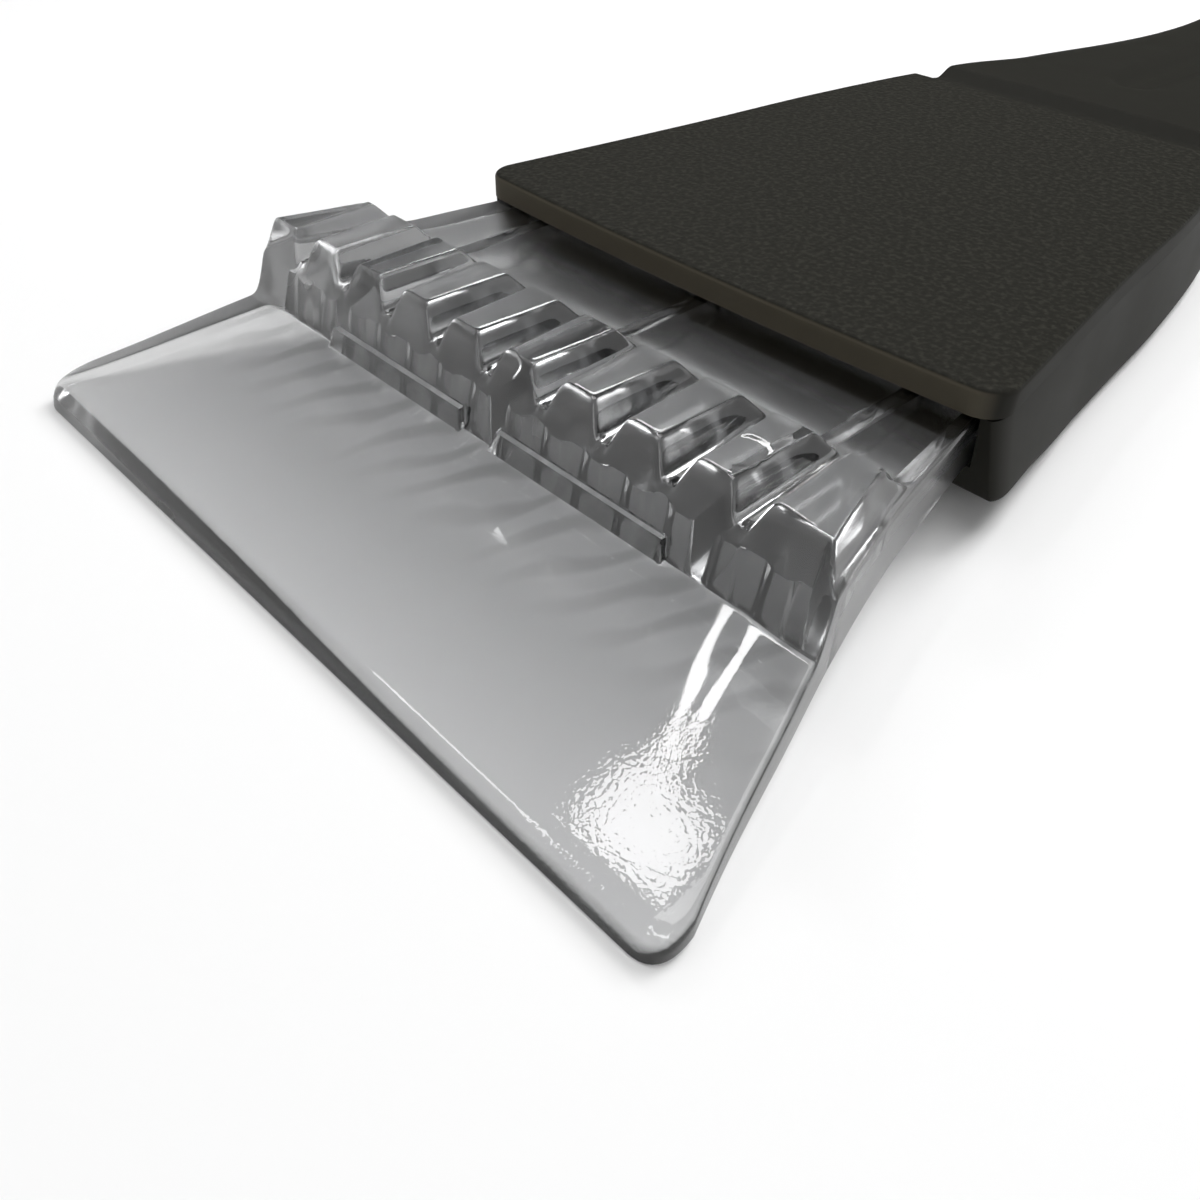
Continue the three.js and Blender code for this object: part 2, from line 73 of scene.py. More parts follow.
# Blade: outline, wedge and front edge
BLADE_SIDE = [
    (0, 55.9), (11, 51.9), (22, 48.5), (33.5, 44.9), (46, 41.7), (57, 39.8), (64, 38.6), (70, 38.3),
]
BLADE_CORNER = 4.5
CORNER_PULL = 1
CORNER_POINTS = 11
WEDGE_SLOPE = 0.2426
UNDERSIDE_SLOPE = 0.13
EDGE_LEAN = 0.6
EDGE_LEAN_RUN = 2.5
EDGE_SOFTENING = 1.1
EDGE_SOFT_RUNS = (2, 7)
UNDER_ROUND_SHARE = 0.35

# Blade: block with its teeth, pads, deck and ejector mark
FOOT_RUN = 27.8
FOOT_Z = 9.2
FACE_SLOPE = 3.39
TOOTH_TOP_Z = 19.4
TOOTH_BACK_RUN = 42.6
BACK_DIP = 1.5
GROOVE_RUN = FOOT_RUN - 1
GROOVE_SLOPE = 2.55
GROOVE_ROUND = 1
GROOVE_RISE = math.tan(math.radians(5))
END_SLOPE = 3.6
END_INSET = 0.6
DECK_Z = 15
DECK_RUN = 51
PAD_MIDDLE = 15.4
PAD_HALF = 13
PAD_FRONT_RUN = 26.8
PAD_FOOT_Z = 8.6
PAD_TOP_Z = 11.5
PAD_SLOPE = 4.5
MARK_PLACE = (30.1, 35.2)
MARK_EDGE = (2.35, 2.75)
MARK_DEPTH = 0.09

# Blade: how softly its surfaces run into one another; pairs are for the middle and for the ends
WEDGE_BLEND = 0.8
TOOTH_BLEND = 3.0
BACK_BLEND = 0.5
END_BLEND = 1.3
DECK_BLEND = 2.0
FACE_BLENDS = (3.6, 1.4)
FOOT_BLENDS = (1.8, 4.4)
FOOT_BLEND_RUNS = (33, 37)
LEAST_BLEND = 0.02
END_ZONE = (-9, -3)
PAD_BLEND = 0.9
PAD_FILLET = 0.5

# Blade: core, ribs and tongue
CORE_RUNS = (31.6, 66.5)
CORE_CEILING_Z = 12
CORE_DRAFT = 11.0
SIDE_WALL = 1.8
RIB_PLACE = 30
RIB_HALF = 0.6
FLUTE_PITCH = 6
FLUTE_DEPTH = 0.9
FLUTE_SOFTNESS = 0.12
BODY_BACK_RUN = 69
TONGUE_GAP = 0.02
TONGUE_HALVES = (34, 29)
TONGUE_END_RUN = 105
TONGUE_BOTTOM_Z = 12
TONGUE_CLEARANCE = 60
BOSS_HOLE = [(0, 10), (4.3, 10), (4.3, 18), (0, 18)]

# Blade: spacing of its plan grid; rows are (start, end, step)
BLADE_ROWS = [
    (BLADE_CORNER, 24.9, 1.7), (24.9, 26.2, 0.3), (26.2, 31.7, 0.17), (31.7, 38.5, 0.34), (38.5, 42, 0.7),
    (42, 47, 0.28), (47, 51.6, 0.4), (51.6, 66, 2.4), (66, 67, 0.25), (67, BODY_BACK_RUN, 1),
]
TONGUE_STEP = 5.1
GROOVE_COLUMNS = (0, 0.24, 0.48, 0.72, 0.96, 1.25, 1.6, 1.9, 2.1, 2.3, 2.5, 2.8, 3.2, 3.6, 4.05)
RIB_COLUMNS = (-1.15, -RIB_HALF, RIB_HALF, 1.15)
END_COLUMNS = (40.2, 40.7)
BLADE_REACH = 41
REACH_GAP = 1.3
KEPT_REACH = 33
KEPT_GAP = 3
SIDE_COLUMNS = 18
RIM_BAND = 1.1
RIM_OFFSETS = np.array([0.85, 0.65, 0.5, 0.36, 0.24, 0.14, 0.06, 0.015, 0])

# Blade: finish
SMOKE = (0.5, 0.505, 0.51)
SMOKE_DENSITY = 88
WORN_SPOT = (46, 6)
WORN_RADII = (5, 14)
DULL_SIDE_X = -48
# Width of the wall band, which is rougher and painted with shade
WALL_BAND = 0.4
CORED_FRONT = (31.4, 31.5)
CORED_BACK = (67, 67.5)
# End of the painted shade on the core's front wall
CORE_FRONT_WALL = (33.4, 33.6)
# Runs and slant of the painted caustic light and shadow of the teeth on the flat before the block
PAINTED_CAUSTIC_RUNS = (14, 25)
FLAT_END_RUNS = (27, 28.5)
CAUSTIC_SLANT = 0.69

# Handle: outline, front and end
HANDLE_SIDE = [
    (60, 41.8), (74, 39.8), (88, 37.8), (103, 35.8), (126, 33.1), (151, 28.7), (155, 26.6),
    (157.5, 26.3), (172, 25), (187, 22.3), (201, 19.5), (216, 17.1), (231, 15.9), (245, 16),
    (258, 16.8), (270, 17.3),
]
COVER_FRONT_RUN = 61.5
COVER_BOW = 1.2
SHELL_FRONT_RUN = 63.7
SHELL_INSET = 0.1
SHELL_CORNER_SHARE = 0.3
FRONT_CORNER = 4
END_ROUND = 16
END_BLUNT = 0.97
END_DROP = 0.8
END_RISE = 5
HANDLE_WALL = 2.7

# Handle: heights and edges
COVER_SEAM_Z = 15.3
SHELL_SEAM_Z = 15
PANEL_TOP_Z = 18.5
PANEL_BACK_RUN = 151
VALLEY_RUNS = (149.4, 159.6)
TOP_LINE_STEP = 0.05
TOP_LINE_MARGIN = 20
VALLEY_SMOOTHING = 25
GRIP_RUNS = (157.5, 178)
TOP_LINE = [(60, PANEL_TOP_Z), (150.6, PANEL_TOP_Z), (153, 17.5), (155, 17.5), (158, 19)]
GRIP_TOP = [(157.5, 19), (180, 18.5), (205, 17.7), (230, 17.1), (250, 16.9), (270, 16.8)]
BELLY = [(63.7, 4.6), (67.5, 4.1), (72, 3.2), (76, 2.4), (82, 1.4), (90, 0.5), (100, 0), (270, 0)]
GRIP_EDGE = (6, 3)
EDGE_MARGIN = 0.3
RECESS = (173, 246, 4.8, 1.4)
RECESS_EASE = (-1.2, 3.4)
SHELL_EDGES = (0.8, 1.6, 4.6)
SHELL_EDGE_RUNS = (SHELL_FRONT_RUN + 2, SHELL_FRONT_RUN + 14)
FLARE = 1.3
FRONT_FLARE = 0.09
FRONT_LEAN = 0.16
FRONT_REACH = 30

# Handle: spacing of its plan grid
CORNER_ROWS = 12
END_ROWS = 18
END_CROWDING = 0.6
HANDLE_STEPS = (2.6, 0.3, 1.25)
HANDLE_COLUMNS = 85
PANEL_BAND = 1.2
GRIP_BAND = 6
BAND_SHARES = np.array([0, 0.01, 0.03, 0.06, 0.1, 0.15, 0.21, 0.28, 0.36, 0.45, 0.55, 0.67, 0.8, 0.9, 1])

# Handle: inside, with round bodies as (radius, z) profiles
COVER_HOLLOW = (70, 140, 5)
COVER_HOLLOW_Z = (14, 16.5)
BOSS_TOPS = (16.8, 16)
BOSS_RADIUS = 4
BOSS_FOOT = [(0, 9.6), (BOSS_RADIUS - 0.4, 9.6), (BOSS_RADIUS, 10)]
BORE = [(0, 9), (2.2, 9), (1.7, 10.1), (1.7, 15.3), (0, 15.9)]
SHELL_HOLLOW = (70, 262, 4)
FLOOR_WALL = 2.5
ABOVE_SEAM_Z = 17
CLAMP_RIB_RUNS = (75, 100)
CLAMP_RIB = (1, 26, -2, 11.7)
POST = [(0, -2), (5.2, -2), (5.2, 9.3), (0, 9.3)]
MOUTH_RUNS = (60, 71)
MOUTH_HALF = 38.9
MOUTH_GAP = 0.3
WELL_RADIUS = 3.6
WELL_CHAMFER = 0.4
WELL_MOUTH_Z = -3
WELL_INSIDE = [(WELL_RADIUS, 5), (1.8, 5), (1.8, 11), (0, 11)]

# Handle: finish
PANEL_FACE_Z = (PANEL_TOP_Z - 0.35, PANEL_TOP_Z - 0.1)
PANEL_END_RUNS = (PANEL_BACK_RUN - 1, PANEL_BACK_RUN)
# Runs and gains of the painted light on the cover's front face, lighter and warmer as lit from the front
FACE_LIGHT_RUNS = (COVER_FRONT_RUN + 0.6, COVER_FRONT_RUN + 2.6)
FACE_LIGHT_GAINS = (5.4, 4.9, 4.4)

# Screws
SCREW_PLACES = [(-22, 88), (22, 88), (-15, 162), (15, 162), (0, 253)]
SCREW_NODES = (
    "screw_front_left", "screw_front_right", "screw_middle_left", "screw_middle_right", "screw_rear",
)
SCREW_SHARP_ANGLE = math.radians(40)
SCREW_SIDES = 36
HEAD_BOTTOM_Z = 2.4
HEAD_CROWN = 1.3
HEAD_FLAT = 1.9
HEAD_POINTS = 9
HEAD_SEAT = [(0, 4.55), (-0.15, 4.7)]
NECK = (1.5, 4.7)
SHANK_RADIUS = 1.15
SHANK_RINGS = (4.9, 13.7, 0.11)
THREAD_PITCH = 1.25
THREAD_DEPTH = 0.45
THREAD_SHARPNESS = 3
THREAD_Z = (5.3, 13.6)
SCREW_TIP = [(0.25, 14.5), (0, 14.6)]
SLOT_ARMS = ((1.7, 0.45), (0.45, 1.7))
SLOT_Z = (1.9, 3.7)
ZINC = (0.56, 0.57, 0.58)
BRIGHT_ZINC = (0.58, 0.59, 0.60)
DULL_ZINC = (0.47, 0.465, 0.44)

# Stage, in metres: lamps are name, size, place, aim, radiance and the way that their second side lies
LAMPS = [
    ("key_light", (0.6, 0.5), (0.06, 0.73, 0.85), (0, -0.1, 0.01), 9.6, (1, 0, 0)),
    ("overhead_light", (0.7, 0.7), (0.05, 0.0, 1.2), (0, -0.02, 0), 3.2, (0, 1, 0)),
    ("front_light", (0.8, 0.5), (0.7, -1.0, 0.7), (0, -0.05, 0.01), 1.5, (0, 1, 0)),
    ("strip_light", (0.08, 0.25), (-0.42, 0.367, 0.547), (0.02, -0.098, 0.016), 11.0, (0.386, 0.162, 0.182)),
    ("ceiling_light", (0.08, 0.065), (-0.20, -0.112, 0.6), (0.046, -0.128, 0.004), 9.5, (0, 1, 0)),
    ("left_tube", (0.009, 0.15), (-0.245, -0.005, 0.6), (0.04, -0.115, 0.006), 14.0, (-34, 108, 0)),
    ("right_tube", (0.009, 0.15), (-0.225, -0.004, 0.6), (0.042, -0.115, 0.006), 14.0, (-18, 111, 0)),
]
NOT_MIRRORED = ("key_light",)
FLOOR_Z = -0.00005
FLOOR_SHADE = 0.88
FLOOR_FADE = (0.3, 0.9)
FLAG_SIDE = (-0.5, 0.75, 0.43)
FLAG_EDGE = (0.6, 0.8)
FLAG_HEIGHT = (0.4, 0.5)
FLAG_DEPTHS = (0.97, 0.78)
CAMERA_PLACE = (0.07947, -0.16675, 0.07408)
CAMERA_ANGLES = (45.195, 41.92, 1.696)
CAMERA_LENS = 31.92
CAMERA_SENSOR = 36
CAMERA_NEAR = 0.01


# Curves and plan grids

def through(stations, run):
    """Smooth values through (run, value) stations, with slopes taken from the neighbours."""
    runs, values = (np.array(column, float) for column in zip(*stations))
    run = np.asarray(run, float)
    last = len(runs) - 1
    i = np.clip(np.searchsorted(runs, run, side="left") - 1, 0, last - 1)
    before = np.maximum(i - 1, 0)
    after = np.minimum(i + 2, last)
    span = runs[i + 1] - runs[i]
    slope_a = (values[i + 1] - values[before]) / (runs[i + 1] - runs[before]) * span
    slope_b = (values[after] - values[i]) / (runs[after] - runs[i]) * span
    t = np.clip((run - runs[i]) / span, 0, 1)
    rest = 1 - t
    ends = values[i] * (1 + 2 * t) * rest**2 + values[i + 1] * (3 - 2 * t) * t**2
    return ends + slope_a * t * rest**2 - slope_b * t**2 * rest


def ease(low, high, value):
    """Smooth step from 0 at low to 1 at high."""
    t = np.clip((np.asarray(value, float) - low) / (high - low), 0, 1)
    return t * t * (3 - 2 * t)


def spaced(*stretches):
    """Runs from (start, end, step) stretches that follow one another."""
    runs = []
    for start, end, step in stretches:
        count = max(1, round((end - start) / step))
        runs.extend(np.linspace(start, end, count, endpoint=False))
    return runs + [stretches[-1][1]]


def rim_distance(points, loop):
    """Distance in plan from each point to the closed outline."""
    tree = KDTree(len(loop))
    for i, (x, y) in enumerate(loop):
        tree.insert((x, y, 0), i)
    tree.balance()
    near = np.array([tree.find((x, y, 0))[1] for x, y in points])
    best = np.full(len(points), np.inf)
    for side in (-1, 0):
        a = loop[(near + side) % len(loop)]
        b = loop[(near + side + 1) % len(loop)]
        step = b - a
        long = np.maximum((step**2).sum(1), 1e-12)
        t = np.clip(((points - a) * step).sum(1) / long, 0, 1)
        best = np.minimum(best, np.hypot(*(a + t[:, None] * step - points).T))
    return best


class Pillow:
    """Two sheets over one plan grid, joined by a wall round the outline. Sheet is 1 on top, 0 below."""

    def __init__(self, x, y, wall_steps):
        rows, columns = x.shape
        count = rows * columns
        grid = np.arange(count).reshape(rows, columns)
        loop = np.concatenate([grid[0], grid[1:, -1], grid[-1, -2::-1], grid[-2:0:-1, 0]])
        plan = np.stack([x.ravel(), y.ravel()], 1)
        outline = plan[loop]
        onward = np.roll(outline, -1, 0) - outline
        fine = np.stack([outline + onward * share for share in (0, 0.25, 0.5, 0.75)], 1).reshape(-1, 2)
        rim = rim_distance(plan, fine)
        rim[loop] = 0
        quads = np.stack([grid[:-1, :-1], grid[:-1, 1:], grid[1:, 1:], grid[1:, :-1]], -1).reshape(-1, 4)
        faces = [quads, quads[:, ::-1] + count]
        rings = [loop + count]
        sheet = [np.ones(count), np.zeros(count)]
        for step in range(1, wall_steps):
            rings.append(2 * count + (step - 1) * len(loop) + np.arange(len(loop)))
            sheet.append(np.full(len(loop), step / wall_steps))
        rings.append(loop)
        for low, high in zip(rings, rings[1:]):
            faces.append(np.stack([low, np.roll(low, -1), np.roll(high, -1), high], 1))
        walls = [outline] * (wall_steps - 1)
        self.x, self.run = np.concatenate([plan, plan, *walls]).T
        self.sheet = np.concatenate(sheet)
        self.rim = np.concatenate([rim, rim, np.zeros(len(loop) * (wall_steps - 1))])
        self.faces = np.concatenate(faces)

    def mesh(self, name, z):
        """A mesh with its place along the tool, from this plan and these heights."""
        points = np.stack([self.x, self.run - LENGTH / 2, np.broadcast_to(z, self.x.shape)], 1) * MM
        mesh = bpy.data.meshes.new(name)
        mesh.from_pydata(points.tolist(), [], self.faces.tolist())
        keep(mesh, "sheet", self.sheet)
        keep(mesh, "rim", self.rim * MM)
        mesh.polygons.foreach_set("use_smooth", np.ones(len(self.faces), bool))
        return mesh


def keep(mesh, name, values):
    """Stores one value for each point of the mesh."""
    attribute = mesh.attributes.new(name, "FLOAT", "POINT")
    attribute.data.foreach_set("value", values.astype(np.float32))


def show(name, mesh):
    """A new object at the origin that carries this mesh."""
    piece = bpy.data.objects.new(name, mesh)
    bpy.context.scene.collection.objects.link(piece)
    return piece


def give(modifier, values):
    """Sets a node modifier's inputs by name."""
    for item in modifier.node_group.interface.items_tree:
        if item.item_type == "SOCKET" and item.in_out == "INPUT" and item.name in values:
            modifier[item.identifier] = values[item.name]


def settle(piece, slot, *nodes):
    """The piece rides on the tool and stands for its solids, which are hidden."""
    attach(piece, BODY)
    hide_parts(*nodes)


def made_plain(piece, sharp_angle=SHARP_ANGLE):
    """The object's evaluated shape as a plain mesh, with its modifiers removed."""
    evaluated = piece.evaluated_get(bpy.context.evaluated_depsgraph_get())
    mesh = bpy.data.meshes.new_from_object(evaluated)
    former = piece.data
    piece.modifiers.clear()
    piece.data = mesh
    mesh.name = piece.name
    bpy.data.meshes.remove(former)
    mesh.polygons.foreach_set("use_smooth", np.ones(len(mesh.polygons), bool))
    mesh.set_sharp_from_angle(angle=sharp_angle)


def loft(name, sections):
    """A closed body through (run, half width, bottom, top) sections."""
    points = []
    for run, half, bottom, top in sections:
        y = (run - LENGTH / 2) * MM
        for x, z in ((-half, bottom), (half, bottom), (half, top), (-half, top)):
            points.append((x * MM, y, z * MM))
    last = len(points) - 4
    faces = [(0, 1, 2, 3), (last + 3, last + 2, last + 1, last)]
    for start in range(0, last, 4):
        for i in range(4):
            after = (i + 1) % 4
            faces.append((start + i, start + 4 + i, start + 4 + after, start + after))
    mesh = bpy.data.meshes.new(name)
    mesh.from_pydata(points, [], faces)
    return show(name, mesh)


def turned(name, profile, place, swell=None, steps=48):
    """A closed round body from (radius, z) pairs, lower end first. Swell adds to it by angle and z."""
    x, y = place[0] * MM, (place[1] - LENGTH / 2) * MM
    points = [(x, y, profile[0][1] * MM)]
    for radius, z in profile[1:-1]:
        for angle in np.arange(steps) * (math.tau / steps):
            wide = radius + (swell(angle, z) if swell else 0)
            points.append((x + wide * math.cos(angle) * MM, y + wide * math.sin(angle) * MM, z * MM))
    points.append((x, y, profile[-1][1] * MM))
    last = len(points) - 1
    faces = []
    for i in range(steps):
        after = (i + 1) % steps
        faces.append((0, 1 + after, 1 + i))
        for ring in range(1, last - steps, steps):
            faces.append((ring + i, ring + after, ring + steps + after, ring + steps + i))
        faces.append((last, last - steps + i, last - steps + after))
    mesh = bpy.data.meshes.new(name)
    mesh.from_pydata(points, [], faces)
    return show(name, mesh)


def remove(*objects):
    """Deletes these objects and their meshes."""
    for item in objects:
        mesh = item.data
        bpy.data.objects.remove(item)
        bpy.data.meshes.remove(mesh)


def carve(piece, operation, *tools):
    """Joins these closed tools to the piece or cuts them out of it, and uses them up."""
    for tool in tools:
        modifier = piece.modifiers.new(tool.name, "BOOLEAN")
        modifier.solver = "EXACT"
        modifier.operation = operation
        modifier.object = tool
    made_plain(piece)
    remove(*tools)


# Node wiring

class Wire:
    """One output of a node. Arithmetic on it adds Math nodes to its tree."""

    def __init__(self, tree, socket):
        self.tree = tree
        self.socket = socket

    @classmethod
    def add(cls, tree, kind, settings=None, inputs=None, output=0):
        """Adds a node of this kind; its settings are set first, then its inputs as values or links."""
        node = tree.nodes.new(kind)
        for key, value in (settings or {}).items():
            setattr(node, key, value)
        for key, value in (inputs or {}).items():
            if isinstance(value, Wire):
                tree.links.new(value.socket, node.inputs[key])
            else:
                node.inputs[key].default_value = value
        return cls(tree, node.outputs[output])

    def math(self, operation, *values):
        """A Math node on this value and the given ones."""
        inputs = dict(enumerate((self, *values)))
        return Wire.add(self.tree, "ShaderNodeMath", {"operation": operation}, inputs)

    def backwards(self, operation, value):
        """A Math node on the given value and this one."""
        return Wire.add(self.tree, "ShaderNodeMath", {"operation": operation}, {0: value, 1: self})

    def __add__(self, other):
        return self.math("ADD", other)

    def __sub__(self, other):
        return self.math("SUBTRACT", other)

    def __mul__(self, other):
        return self.math("MULTIPLY", other)

    def __truediv__(self, other):
        return self.math("DIVIDE", other)

    def __radd__(self, other):
        return self.math("ADD", other)

    def __rsub__(self, other):
        return self.backwards("SUBTRACT", other)

    def __rmul__(self, other):
        return self.math("MULTIPLY", other)

    def __rtruediv__(self, other):
        return self.backwards("DIVIDE", other)

    def __neg__(self):
        return self.math("MULTIPLY", -1.0)

    def __abs__(self):
        return self.math("ABSOLUTE")

    def low(self, other, blend=0.0):
        """The lower of two values, rounded off over the blend."""
        return self.math("SMOOTH_MIN", other, blend) if blend else self.math("MINIMUM", other)

    def high(self, other, blend=0.0):
        """The higher of two values, rounded off over the blend."""
        return self.math("SMOOTH_MAX", other, blend) if blend else self.math("MAXIMUM", other)

    def root(self):
        """The square root."""
        return self.math("SQRT")

    def step(self, low, high):
        """Smooth step from 0 at low to 1 at high."""
        inputs = {"Value": self, "From Min": low, "From Max": high}
        return Wire.add(self.tree, "ShaderNodeMapRange", {"interpolation_type": "SMOOTHSTEP"}, inputs)

    def step_mm(self, low, high):
        """Smooth step between two lengths in millimetres."""
        return self.step(low * MM, high * MM)

    def axis(self, name):
        """One coordinate of this vector."""
        return Wire.add(self.tree, "ShaderNodeSeparateXYZ", inputs={"Vector": self}, output=name)


def apart(x, y):
    """Length of a step of x and y."""
    return (x * x + y * y).root()


def tree_inputs(tree, **kinds):
    """Gives a geometry tree its output and its named inputs, and returns the inputs by name."""
    tree.interface.new_socket("Geometry", in_out="OUTPUT", socket_type="NodeSocketGeometry")
    for kind, names in kinds.items():
        for name in names:
            socket = tree.interface.new_socket(name, in_out="INPUT", socket_type="NodeSocket" + kind)
            if kind == "Float":
                socket.subtype = "DISTANCE"
    source = tree.nodes.new("NodeGroupInput")
    return {socket.name: Wire(tree, socket) for socket in source.outputs}


def tree_end(geometry, finish):
    """Ends a geometry tree with real geometry in its finish."""
    tree = geometry.tree
    geometry = Wire.add(tree, "GeometryNodeRealizeInstances", inputs={"Geometry": geometry})
    inputs = {"Geometry": geometry, "Material": finish}
    geometry = Wire.add(tree, "GeometryNodeSetMaterial", inputs=inputs)
    result = tree.nodes.new("NodeGroupOutput")
    tree.links.new(geometry.socket, result.inputs["Geometry"])


def finish_tree(name, colour, roughness, settings):
    """A material with one Principled shader whose constant values are set on its own sockets."""
    material = bpy.data.materials.new(name)
    material.use_nodes = True
    tree = material.node_tree
    shader = tree.nodes["Principled BSDF"]
    shader.inputs["Base Color"].default_value = (*colour, 1)
    shader.inputs["Roughness"].default_value = roughness
    for key, value in settings.items():
        shader.inputs[key].default_value = value
    place = Wire.add(tree, "ShaderNodeTexCoord", output="Object")
    return material, shader, place


def feed(shader, socket, wire):
    """Links a wire to one of the shader's sockets."""
    wire.tree.links.new(wire.socket, shader.inputs[socket])


def noise(place, scale, detail=2.0, stretch=(1, 1, 1)):
    """Noise over Object coordinates; scale is in cycles for each metre."""
    inputs = {"Vector": place, "Scale": stretch}
    spot = Wire.add(place.tree, "ShaderNodeMapping", {"vector_type": "POINT"}, inputs)
    inputs = {"Vector": spot, "Scale": scale, "Detail": detail}
    return Wire.add(place.tree, "ShaderNodeTexNoise", inputs=inputs)


def bump(height, distance, strength):
    """A surface direction that follows this height."""
    inputs = {"Height": height, "Distance": distance, "Strength": strength}
    return Wire.add(height.tree, "ShaderNodeBump", inputs=inputs)


def shade_of(colour, share):
    """A darker or lighter shade of a colour."""
    return tuple(min(part * share, 1) for part in colour)


def tinted(share, shade_a, shade_b):
    """A colour between two shades, each of them a colour or a wire."""
    inputs = {"Factor": share}
    for key, shade in (("A", shade_a), ("B", shade_b)):
        inputs[key] = shade if isinstance(shade, Wire) else (*shade, 1)
    return Wire.add(share.tree, "ShaderNodeMix", {"data_type": "RGBA"}, inputs, "Result")


# Settings

def length_setting(name, description, millimetres, least=0):
    """A property for a length."""
    return FloatProperty(
        name=name, description=description, default=millimetres * MM, min=least, unit="LENGTH", precision=4
    )


def colour_setting(name, description, default):
    """A property for a colour."""
    return FloatVectorProperty(
        name=name, description=description, default=default, size=3, min=0, max=1, subtype="COLOR"
    )


class BladeSettings(bpy.types.PropertyGroup):
    """Sizes and tint of the blade"""

    tooth_pitch: length_setting("Tooth Pitch", "Distance from one groove between the teeth to the next", 9)
    groove_count: IntProperty(
        name="Grooves", description="Number of grooves between the teeth", default=9, min=1
    )
    groove_depth: length_setting("Groove Depth", "Depth of a groove at the face of the block", 4.1)
    groove_shift: length_setting("Groove Shift", "Offset of the row of grooves from the middle", -1.2, -1)
    edge_height: length_setting("Edge Height", "Thickness of the blade at its front edge", 2.6)
    edge_round: length_setting("Edge Round", "Radius of the moulded edges", 0.6)
    tint: colour_setting("Tint", "Smoke tint of the clear plastic", (0.9, 0.902, 0.904))


class HandleSettings(bpy.types.PropertyGroup):
    """Panel, grain and colour of the handle"""

    panel_edge: length_setting("Panel Edge", "Radius of the front panel's upper edge", 0.7)
    grain_size: length_setting("Grain Size", "Width of one cell of the leather grain", 0.75)
    colour: colour_setting("Colour", "Charcoal of the handle", (0.0158, 0.0154, 0.0128))


class ScrewSettings(bpy.types.PropertyGroup):
    """Size and turn of the screws"""

    head_radius: length_setting("Head Radius", "Radius of a screw's pan head", 3.2)
    seed: IntProperty(name="Seed", description="Seed of the turn of each screw's slot", default=4)


class StageSettings(bpy.types.PropertyGroup):
    """Floor and light of the stage"""

    floor_size: length_setting("Floor Size", "Width of the pale floor", 6000)
    light: FloatProperty(name="Light", description="Strength of the room light", default=0.3, min=0)


# Blade

def blade_half(run):
    """Half the blade's width, before its front corners are rounded."""
    return through(BLADE_SIDE, run)


def blade_outline():
    """Rows of the plan and half the blade's width at each of them."""
    corner = blade_half(0)
    turn = np.linspace(0, 1, CORNER_POINTS)
    corner_runs = BLADE_CORNER * turn**2
    corner_half = (1 - turn) ** 2 * (corner - BLADE_CORNER) + 2 * turn * (1 - turn) * (corner - CORNER_PULL)
    corner_half = corner_half + turn**2 * blade_half(BLADE_CORNER)
    body_runs = spaced(*BLADE_ROWS)[1:]
    tongue_runs = spaced((BODY_BACK_RUN + TONGUE_GAP, TONGUE_END_RUN, TONGUE_STEP))
    tongue_half = np.interp(tongue_runs, (BODY_BACK_RUN, TONGUE_END_RUN), TONGUE_HALVES)
    runs = np.concatenate([corner_runs, body_runs, tongue_runs])
    half = np.concatenate([corner_half, blade_half(np.array(body_runs)), tongue_half])
    return runs, half


def blade_columns(settings):
    """Columns that follow the grooves, the tooth tops and the ribs."""
    pitch = settings.tooth_pitch / MM
    middle = (settings.groove_count - 1) / 2
    grooves = settings.groove_shift / MM + pitch * (np.arange(settings.groove_count) - middle)
    sides = [grooves + side * step for side in (-1, 1) for step in GROOVE_COLUMNS]
    tops = [grooves + pitch / 2, [grooves[0] - pitch / 2]]
    ribs = [side * place + edge for place in (0, RIB_PLACE) for side in (-1, 1) for edge in RIB_COLUMNS]
    columns = np.concatenate([*sides, *tops, END_COLUMNS, (-BLADE_REACH, BLADE_REACH), ribs])
    columns = np.unique(np.round(columns, 4))
    return columns[np.abs(columns) <= BLADE_REACH]


def blade_plan(settings):
    """Plan grid: constant columns through the teeth, fixed offsets from the outline at the sides."""
    runs, half = blade_outline()
    columns = blade_columns(settings)
    half = half[:, None]
    reach = np.minimum(BLADE_REACH, half - REACH_GAP)
    kept = np.minimum(KEPT_REACH, reach - KEPT_GAP)
    beyond = np.clip((np.abs(columns) - KEPT_REACH) / (BLADE_REACH - KEPT_REACH), 0, 1)
    middle = np.clip(columns / KEPT_REACH, -1, 1) * kept + np.sign(columns) * beyond * (reach - kept)
    spread = np.linspace(0, 1, SIDE_COLUMNS)[1:-1]
    right = np.concatenate([reach + (half - RIM_BAND - reach) * spread, half - RIM_OFFSETS], 1)
    x = np.concatenate([-right[:, ::-1], middle, right], 1)
    return x, np.broadcast_to(runs[:, None], x.shape)


def between(share, low, high):
    """A length between two others in millimetres."""
    return share * ((high - low) * MM) + low * MM


def edge_fall(rim, reach):
    """How far a rounded edge falls at this distance from the rim."""
    turn = 1.0 - (rim / reach).low(1.0)
    return (1.0 - (1.0 - turn * turn).root()) * reach


